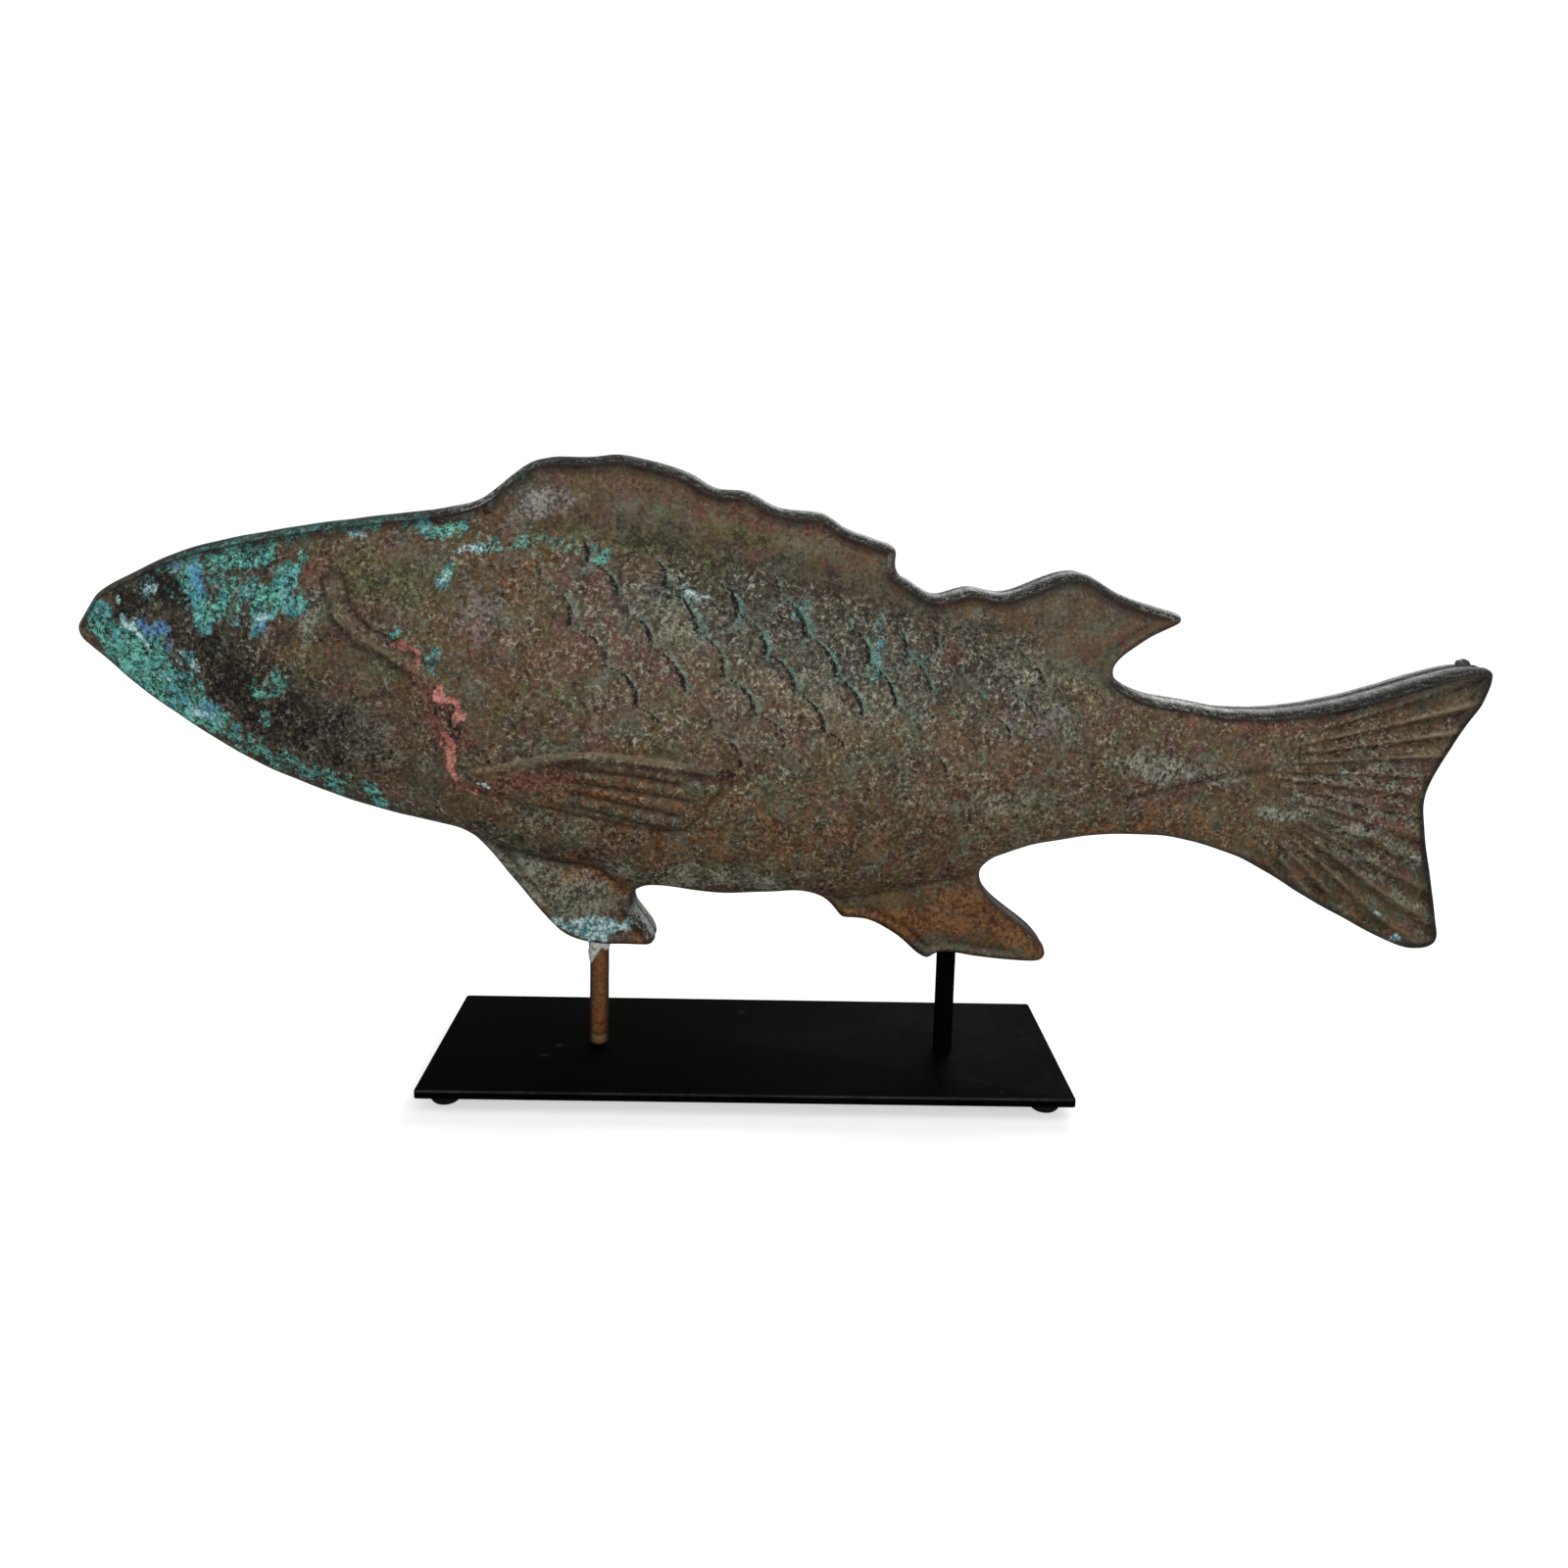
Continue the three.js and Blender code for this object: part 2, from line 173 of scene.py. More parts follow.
def cloud(x, z, size, seed):
    """Soft lumps about as wide as size, between -1 and 1."""
    dice = np.random.default_rng(seed)
    heights = dice.uniform(-1, 1, (64, 64))
    u, v = x / size + 1000, z / size + 1000
    i, j = np.floor(u).astype(int), np.floor(v).astype(int)
    su, sv = smooth(0, 1, u - i), smooth(0, 1, v - j)
    corner = lambda di, dj: heights[(i + di) % 64, (j + dj) % 64]
    near = corner(0, 0) * (1 - su) + corner(1, 0) * su
    far = corner(0, 1) * (1 - su) + corner(1, 1) * su
    return near * (1 - sv) + far * sv


# %% [markdown]
# ## The outline
# The CAD fish already has the right outline, so it isn't drawn again. Its rim is a flat wall
# 10 mm wide, and the front edge of that wall is read off the mesh as a chain of points. The
# posts' sockets cut the chain in two places, which straight steps bridge. Between its sharp
# corners the chain is then drawn as a smooth curve and stepped evenly. The snout, the tail and
# the tips of two fins are blunter on the real fish, because sheet metal can't be rolled round a
# sharp tip. So the line is pushed out to a small circle at each, and the hollows beside it are
# filled. The result lies a little inside the CAD outline, with the small wander of a line that
# was cut with snips.

# %% Read the chain off the CAD fish
SEAM_HALF = 5
WELD_WITHIN = 0.01 * MM
RIM_STEP = 1.6
OUTLINE_INSET = 0.5
OUTLINE_WANDER = 0.22
CORNER_TURN = math.radians(38)


def rim_edges(node):
    """The edges between the rim's wall and the near face, as pairs of [x, z] keys in mm."""
    skin = bmesh.new()
    skin.from_mesh(node.data)
    bmesh.ops.remove_doubles(skin, verts=skin.verts, dist=WELD_WITHIN)
    skin.normal_update()
    pairs = []
    for edge in skin.edges:
        on_rim = all(abs(v.co.y + SEAM_HALF * MM) < WELD_WITHIN for v in edge.verts)
        facing = sorted(face.normal.y for face in edge.link_faces)
        if on_rim and len(facing) == 2 and facing[0] < -0.1 and abs(facing[1]) < 0.05:
            pairs.append([(v.co.x / MM, v.co.z / MM) for v in edge.verts])
    skin.free()
    return pairs


def chained(pairs):
    """One closed chain through all the pairs. A gap is stepped over to the nearest free end."""
    links = {}
    for a, b in pairs:
        links.setdefault(a, []).append(b)
        links.setdefault(b, []).append(a)
    chain = [min(links)]
    left = set(links) - set(chain)
    while left:
        here = chain[-1]
        linked = [p for p in links[here] if p in left]
        ends = linked or [p for p in left if len(links[p]) == 1]
        chain.append(min(ends, key=lambda p: math.dist(p, here)))
        left.discard(chain[-1])
    return np.array(chain)


chain = chained(rim_edges(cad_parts["fish"]))
print("points read off the CAD rim:", len(chain))

# %% Draw it as an even, smooth line
ROUND_TIPS = [
    (-410.5, 267.5, 10), (411.2, 253.5, 9.2), (407, 243, 9.5), (-85.2, 83.9, 4.7),
    (228, 287.2, 3.6),
]
TIP_REACH = 14
TIP_FILLS = 200
EASINGS = 3
CORNER_EASINGS = 12
TIGHT_TURN = (0.28, 0.45)


def turn_area(loop):
    """Twice the area inside a loop, positive if it runs anticlockwise."""
    x, z = loop.T
    return np.sum(x * np.roll(z, -1) - z * np.roll(x, -1))


def turning(loop):
    """How sharply a loop turns at each of its points, in radians."""
    inward, outward = loop - np.roll(loop, 1, 0), np.roll(loop, -1, 0) - loop
    across = inward[:, 0] * outward[:, 1] - inward[:, 1] * outward[:, 0]
    return np.abs(np.arctan2(across, (inward * outward).sum(1)))


def blurred(loop):
    """Each point moved half way to the middle of its neighbours."""
    return (np.roll(loop, 1, 0) + 2 * loop + np.roll(loop, -1, 0)) / 4


def rounded(loop):
    """Four times as many points, on smooth curves that break only at sharp corners."""
    before, after = np.roll(loop, 1, 0), np.roll(loop, -1, 0)
    inward, outward = loop - before, after - loop
    sharp = (turning(loop) > CORNER_TURN)[:, None]
    leave = np.where(sharp, outward, (after - before) / 2)
    arrive = np.where(sharp, inward, (after - before) / 2)
    arrive = np.roll(arrive, -1, 0)
    quarters = [loop + bend(s, outward, leave, arrive) for s in (0, 0.25, 0.5, 0.75)]
    return np.stack(quarters, 1).reshape(-1, 2)


def evenly(loop, step):
    """The same closed line with points at even steps along it."""
    closed = np.vstack([loop, loop[:1]])
    passed = np.r_[0, np.cumsum(np.hypot(*np.diff(closed, axis=0).T))]
    count = int(round(passed[-1] / step))
    at = np.arange(count) * passed[-1] / count
    return np.c_[np.interp(at, passed, closed[:, 0]), np.interp(at, passed, closed[:, 1])]


def inward_normals(loop):
    """Unit arrows that point in from an anticlockwise loop."""
    ahead = np.roll(loop, -1, 0) - np.roll(loop, 1, 0)
    return np.c_[-ahead[:, 1], ahead[:, 0]] / np.hypot(*ahead.T)[:, None]


if turn_area(chain) < 0:
    chain = chain[::-1]
OUTLINE = evenly(rounded(chain), RIM_STEP)
for *middle, radius in ROUND_TIPS:
    apart = OUTLINE - middle
    distance = np.hypot(*apart.T)[:, None]
    OUTLINE = middle + apart * np.maximum(1, radius / distance)
OUTLINE = evenly(OUTLINE, RIM_STEP)
near_tip = np.zeros(len(OUTLINE), bool)
for *middle, radius in ROUND_TIPS:
    near_tip |= np.hypot(*(OUTLINE - middle).T) < radius + TIP_REACH
for _ in range(TIP_FILLS):
    step = blurred(OUTLINE) - OUTLINE
    hollow = (step * inward_normals(OUTLINE)).sum(1) < 0
    OUTLINE = OUTLINE + step * (near_tip & hollow)[:, None]
OUTLINE = evenly(OUTLINE, RIM_STEP)
for _ in range(EASINGS):
    OUTLINE = blurred(OUTLINE)
for _ in range(CORNER_EASINGS):
    tight = smooth(*TIGHT_TURN, turning(OUTLINE))[:, None]
    OUTLINE = OUTLINE + (blurred(OUTLINE) - OUTLINE) * np.maximum(tight, 0.5 * blurred(tight))
along_rim = np.arange(len(OUTLINE)) * 2 * math.pi / len(OUTLINE)
wander = sum(np.sin(waves * along_rim + waves) for waves in (31, 53, 89)) / 3
OUTLINE = OUTLINE + inward_normals(OUTLINE) * (OUTLINE_INSET + OUTLINE_WANDER * wander)[:, None]
OUTLINE = evenly(OUTLINE, RIM_STEP)
FACING_UP = -inward_normals(OUTLINE)[:, 1]
print("rim points:", len(OUTLINE), "outline length, mm:", round(len(OUTLINE) * RIM_STEP))

# %% [markdown]
# ## A net of points over the face
# A stamped sheet has no thickness to speak of in a side view, so each half can be a flat net of
# triangles whose points are then pushed out to their height. Rows that follow the rim carry its
# round edge cleanly, and an even three-way net fills the rest. A constrained Delaunay
# triangulation joins the two without a long thin triangle anywhere.

# %% Lay out the net
RIM_ROWS = (0.7, 1.5, 2.5, 3.6, 4.8, 6.1, 7.5, 9.0)
FOLDED_BACK = 0.96
CLOSEST_IN_ROW = 0.55
NET_STEP = 1.5
NET_MARGIN = 0.8
MERGE_WITHIN = 1e-5


def from_outline(places):
    """How far each place is in from the outline, how much the outline faces up there, and how
    far along the outline that is."""
    finder = kdtree.KDTree(len(OUTLINE))
    for i, (x, z) in enumerate(OUTLINE):
        finder.insert((x, z, 0), i)
    finder.balance()
    nearest = np.array([finder.find((x, z, 0))[1] for x, z in places])
    gap = np.full(len(places), np.inf)
    for step in (-1, 0):
        a = OUTLINE[(nearest + step) % len(OUTLINE)]
        b = OUTLINE[(nearest + step + 1) % len(OUTLINE)]
        s = np.clip(((places - a) * (b - a)).sum(1) / ((b - a) ** 2).sum(1), 0, 1)
        gap = np.minimum(gap, np.hypot(*(a + s[:, None] * (b - a) - places).T))
    return gap, FACING_UP[nearest], nearest * RIM_STEP


def rim_row(depth):
    """The points of one row inside the rim, thinned out where the row folds on itself."""
    row = OUTLINE + depth * inward_normals(OUTLINE)
    gap = from_outline(row)[0]
    kept, last = [], None
    for place in row[gap > FOLDED_BACK * depth]:
        if last is None or math.dist(place, last) > CLOSEST_IN_ROW * RIM_STEP:
            kept.append(place)
            last = place
    return np.array(kept)


def net_rows(step, margin):
    """An even three-way net inside the outline, clear of the rim's rows."""
    a, b = OUTLINE, np.roll(OUTLINE, -1, 0)
    rows = []
    height = step * math.sqrt(0.75)
    low, high = OUTLINE[:, 1].min(), OUTLINE[:, 1].max()
    for k, z in enumerate(np.arange(low + height, high, height)):
        hit = (a[:, 1] > z) != (b[:, 1] > z)
        share = (z - a[hit, 1]) / (b[hit, 1] - a[hit, 1])
        crossings = np.sort(a[hit, 0] + share * (b[hit, 0] - a[hit, 0]))
        start = (k % 2) * step / 2
        for left, right in zip(crossings[::2], crossings[1::2]):
            x = np.arange(math.ceil((left - start) / step), (right - start) / step) * step + start
            rows.append(np.c_[x, np.full(len(x), z)])
    places = np.vstack(rows)
    return places[from_outline(places)[0] > margin]


rim_rows = [rim_row(depth) for depth in RIM_ROWS]
net = np.vstack([OUTLINE, *rim_rows, net_rows(NET_STEP, RIM_ROWS[-1] + NET_MARGIN)])
rim_count = len(OUTLINE)
rim_loop = [(k, (k + 1) % rim_count) for k in range(rim_count)]
flat_net = delaunay_2d_cdt([Vector(p) for p in net.tolist()], rim_loop, [], 1, MERGE_WITHIN)
NET = np.array([tuple(p) for p in flat_net[0]])
TRIANGLES = [list(face) for face in flat_net[2]]
print("net points:", len(NET), "triangles on one face:", len(TRIANGLES))

# %% [markdown]
# ## The stamped form
# Everything the die pressed into the sheet is a height over the side view, so it is written as a
# sum of heights. The first terms repeat the CAD solid: a rounded rim, flat fins and tail, and a
# body that swells between its top and bottom lines. The rest is finer than the CAD model holds:
# the groove behind the rim, the bead of the gill cover, the rays of the fins and the creases
# where the lower fins meet the belly. The scales follow later, because they follow a rule.

# %% Body lines, as in the CAD model
FIN_HALF = 15
SHOULDER = 6
TOP_SWELL_POWER = 1
BELLY_SWELL_POWER = 0.6
BODY_TOP = [
    (-421, 273), (-410, 288), (-357, 316), (-313, 327), (-254, 337), (-205, 344), (-144, 338),
    (-65, 323), (-8, 313), (67, 292), (137, 267), (191, 250), (258, 235), (319, 238),
]
BODY_BOTTOM = [
    (-421, 267), (-382, 230), (-328, 194), (-254, 164), (-200, 151), (-173, 142), (-144, 134),
    (-117, 130), (-94, 115), (-16, 114), (32, 114), (79, 123), (117, 132), (170, 151),
    (238, 152), (319, 140),
]
BODY_SLACK = 1.3
BODY_HALF = [
    (-421, 14), (-401, 20), (-351, 28), (-301, 34), (-241, 38), (-161, 41), (-61, 41), (19, 38),
    (99, 32), (179, 24), (249, 18), (309, FIN_HALF),
]


def body_swell(x, z):
    """How far the body swells over the flat fins: 1 along its middle, 0 outside it."""
    top, bottom = read_line(BODY_TOP, x), read_line(BODY_BOTTOM, x)
    across = (2 * z - top - bottom) / (top - bottom)
    power = np.where(across > 0, TOP_SWELL_POWER, BELLY_SWELL_POWER)
    return np.maximum(1 - across**2, 0) ** power


# %% Gill cover
GILL_STEP = 3
GILL_EDGE = 1.3
GILL_FADE = 36
GILL_LINE = [
    (150, -173), (170, -179), (183, -185), (192, -194), (215, -196), (234, -200), (251, -213),
    (262, -230), (284, -260), (311, -270),
]
GILL_BEAD = [(-264, 300), (-259, 282), (-248, 271), (-233, 264), (-217, 254), (-206, 244)]
GILL_BEAD_RISE = 2.3
GILL_BEAD_HALF = 4.4
GILL_VALLEY_DEPTH, GILL_VALLEY_AT, GILL_VALLEY_HALF = 0.9, 5.2, 1.6


def gill_relief(x, z):
    """The cheek drops at a curved edge to the flank, with a bead over the upper edge."""
    ahead = read_line(GILL_LINE, z) - x
    ends = smooth(145, 175, z) * (1 - smooth(295, 325, z))
    drop = smooth(-GILL_EDGE, GILL_EDGE, ahead)
    cheek = GILL_STEP * ends * drop * np.exp(-np.maximum(ahead, 0) / GILL_FADE)
    gap, along = near_path(GILL_BEAD, x, z)
    taper = smooth(0, 0.2, along) * (1 - smooth(0.75, 1, along))
    bead = GILL_BEAD_RISE * taper * np.sqrt(np.maximum(1 - (gap / GILL_BEAD_HALF) ** 2, 0))
    valley = GILL_VALLEY_DEPTH * taper * hill(gap, GILL_VALLEY_AT, GILL_VALLEY_HALF)
    return cheek + bead - valley


# %% Pectoral fin
PECTORAL_TOP = [(-191, 193), (-174, 196), (-152, 202), (-118, 206), (-73, 202), (-40, 197)]
PECTORAL_BOTTOM = [(-191, 186), (-174, 178), (-141, 170), (-96, 162), (-62, 160), (-40, 186)]
PECTORAL_RISE = 4.8
PECTORAL_TOP_EDGE = 1.6
PECTORAL_LOW_EDGE = 5
PECTORAL_TIP_X = -40
PECTORAL_ROOT_X = -194
PECTORAL_GROOVES = [
    [(-137, 197), (-95, 194), (-58, 188)],
    [(-140, 190), (-95, 185), (-64, 180), (-53, 177)],
    [(-140, 184), (-99, 177), (-70, 171), (-58, 167)],
    [(-146, 176), (-116, 172), (-87, 165), (-66, 160)],
]
PECTORAL_HOLLOW, HOLLOW_AT, HOLLOW_HALF = 1.1, 5, 3
GROOVE_DEPTH = 1.5
GROOVE_HALF = 1.7


def drawn_groove(path, x, z, half):
    """1 along the middle of a groove that thins out at both ends, 0 away from it."""
    gap, along = near_path(path, x, z)
    taper = smooth(0, 0.25, along) * (1 - smooth(0.85, 1, along))
    return taper * hill(gap, 0, half)


def pectoral_relief(x, z):
    """A low pad on the flank with a crisp upper edge and rays that end at its rear edge."""
    top, bottom = read_line(PECTORAL_TOP, x), read_line(PECTORAL_BOTTOM, x)
    rear = smooth(0, 3, PECTORAL_TIP_X - x) * smooth(0, 30, x - PECTORAL_ROOT_X)
    upper = smooth(0, PECTORAL_TOP_EDGE, top - z)
    lower = smooth(0, PECTORAL_LOW_EDGE, z - bottom)
    pad = PECTORAL_RISE * rear * upper * lower
    hollow = PECTORAL_HOLLOW * rear * upper * hill(top - z, HOLLOW_AT, HOLLOW_HALF)
    hollow = hollow * smooth(-150, -110, x)
    rays = sum(drawn_groove(path, x, z, GROOVE_HALF) for path in PECTORAL_GROOVES)
    return pad - hollow - GROOVE_DEPTH * rear * rays


# %% Tail, creases and the groove behind the rim
FLUTE_ROOT = (247, 198)
FLUTE_ANGLE = math.radians(5.3)
FLUTE_RISE = 1.9
FLUTE_START = 40
FLUTE_FULL = 95
FLUTE_RAGGED = 16
FLUTE_SWAY = 0.016
FINE_FLUTE_RISE = 0.22
RIM_GROOVE_DEPTH = 1.5
RIM_GROOVE_AT = 7.6
RIM_GROOVE_HALF = 2.1
THIN_EDGE = [(96, 150), (106, 138), (117, 128), (134, 108), (152, 86)]
PELVIC_CREASE = [(-176, 143), (-157, 138), (-144, 134), (-130, 132), (-117, 132), (-96, 118)]
ANAL_CREASE = [(6, 128), (31, 119), (65, 124), (87, 126), (106, 131), (116, 143)]
TAIL_CREASE = [(188, 176), (200, 179), (217, 184), (252, 192), (293, 199)]
BELLY_CREASE = [(-18, 136), (15, 135), (36, 150), (70, 158)]
# Each crease: its path, its depth in mm, and how much painted shade darkens its bottom.
CREASE_DEPTHS_AND_PAINTED_SHADE = [
    (PELVIC_CREASE, 1.3, 0.6), (ANAL_CREASE, 0.4, 0.1), (TAIL_CREASE, 1.0, 0.65),
    (BELLY_CREASE, 0.4, 0.3),
]
CREASE_HALF = 1.9
DENT_SIZES_AND_DEPTHS = [(46, 5, 0.5), (19, 6, 0.28), (7, 7, 0.12)]
KNOCK_DEPTH = 0.5


def flute_wave(x, z):
    """The fan of the tail: 1 on a flute's crest and -1 in its hollow, 0 away from the tail."""
    reach = np.hypot(x - FLUTE_ROOT[0], z - FLUTE_ROOT[1])
    turn = np.arctan2(z - FLUTE_ROOT[1], x - FLUTE_ROOT[0])
    turn = turn + FLUTE_SWAY * cloud(x, z, 60, 3)
    started = reach + FLUTE_RAGGED * cloud(x, z, 15, 5)
    grown = np.where(x > FLUTE_ROOT[0], smooth(FLUTE_START, FLUTE_FULL, started), 0)
    wave = np.cos(2 * math.pi * turn / FLUTE_ANGLE)
    fine = np.cos(4 * math.pi * turn / FLUTE_ANGLE + 1)
    return grown * (wave * (0.75 + 0.4 * cloud(x, z, 45, 4)) + FINE_FLUTE_RISE * fine)


def crease_marks(x, z):
    """For each crease: a mark that is 1 in its bottom, how deep it is and how much painted shade it
    gets.
    """
    return [(drawn_groove(path, x, z, CREASE_HALF), depth, painted_shade)
            for path, depth, painted_shade in CREASE_DEPTHS_AND_PAINTED_SHADE]


def rim_groove(x, z, gap, swell):
    """1 in the groove behind the rim, where the fins lie flat."""
    groove = hill(gap, RIM_GROOVE_AT, RIM_GROOVE_HALF) * (1 - smooth(0.15, 0.5, swell))
    return groove * smooth(9, 18, near_path(THIN_EDGE, x, z)[0])


def dents(x, z):
    """The unevenness of hand-finished sheet: broad waves and small knocks."""
    waves = sum(depth * cloud(x, z, size, seed) for size, seed, depth in DENT_SIZES_AND_DEPTHS)
    return waves - KNOCK_DEPTH * np.maximum(cloud(x, z, 9, 8) - 0.35, 0)


def half_thickness(x, z, gap):
    """Half the thickness of the fish, in mm, at many places of its side view."""
    shoulder = np.clip(gap / SHOULDER, 0, 1)
    dome = np.sqrt(1 - (1 - shoulder) ** 2)
    swell = body_swell(x, z)
    flutes = FLUTE_RISE * flute_wave(x, z) * smooth(2, 12, gap)
    relief = gill_relief(x, z) + pectoral_relief(x, z) + flutes
    relief = relief + dents(x, z) - RIM_GROOVE_DEPTH * rim_groove(x, z, gap, swell)
    for mark, depth, _ in crease_marks(x, z):
        relief = relief - depth * mark
    swelling = np.maximum(read_line(BODY_HALF, x) - BODY_SLACK - FIN_HALF, 0) * swell
    return SEAM_HALF + dome * (FIN_HALF - SEAM_HALF + shoulder * (swelling + relief))


X, Z = NET.T
GAP, UP, RIM_ALONG = from_outline(NET)
GAP[:rim_count] = 0
HALF = half_thickness(X, Z, GAP)
HALF[:rim_count] = SEAM_HALF
print("thickest place of the fish, mm:", round(2 * HALF.max(), 1))

# %% [markdown]
# ## Where the weather went
# The colours of old copper aren't a pattern that repeats. Each patch has its place and a cause:
# turquoise grows where water stands and pink shows where the skin has just flaked off. A few maps
# are painted light instead: the dimming over the back, the head and the throat is painted shade,
# and a few small dashes among the pale crust are painted highlights. So each finish gets a soft
# map, one number per point of the net, drawn from blots and streaks. A blot is written as its
# middle, its half length and half width, its turn and its strength, and a streak as its path, its
# half width and its strength. The material later breaks the soft edges up into grains.

# %% Blots and streaks


def blot(x, z, at_x, at_z, long, wide, turn=0, strength=1):
    """A soft oval patch. turn is in degrees, anticlockwise in the side view."""
    c, s = math.cos(math.radians(turn)), math.sin(math.radians(turn))
    u = ((x - at_x) * c + (z - at_z) * s) / long
    v = ((z - at_z) * c - (x - at_x) * s) / wide
    return strength * (1 - smooth(0.45, 1.45, np.hypot(u, v)))


def streak(x, z, path, wide, strength=1):
    """A soft stripe along a path, thinner at both ends."""
    gap, along = near_path(path, x, z)
    reach = wide * (0.55 + 0.45 * np.sin(math.pi * np.clip(along, 0.03, 0.97)))
    return strength * (1 - smooth(0.4, 1.5, gap / reach))


def painted(marks, x, z):
    """The strongest mark at each point, read at places that wander, so that no mark keeps the
    plain shape it was drawn with. A mark that starts with a path is a streak, any other a blot."""
    far_x, far_z = (5 * cloud(x, z, 17, seed) + 3 * cloud(x, z, 7, seed + 1) for seed in (41, 43))
    near_x, near_z = (1.6 * cloud(x, z, 3.5, seed) for seed in (45, 46))
    cover = np.zeros(np.shape(x))
    for mark in marks:
        draw = streak if isinstance(mark[0], list) else blot
        cover = np.maximum(cover, draw(x + far_x + near_x, z + far_z + near_z, *mark))
    return cover


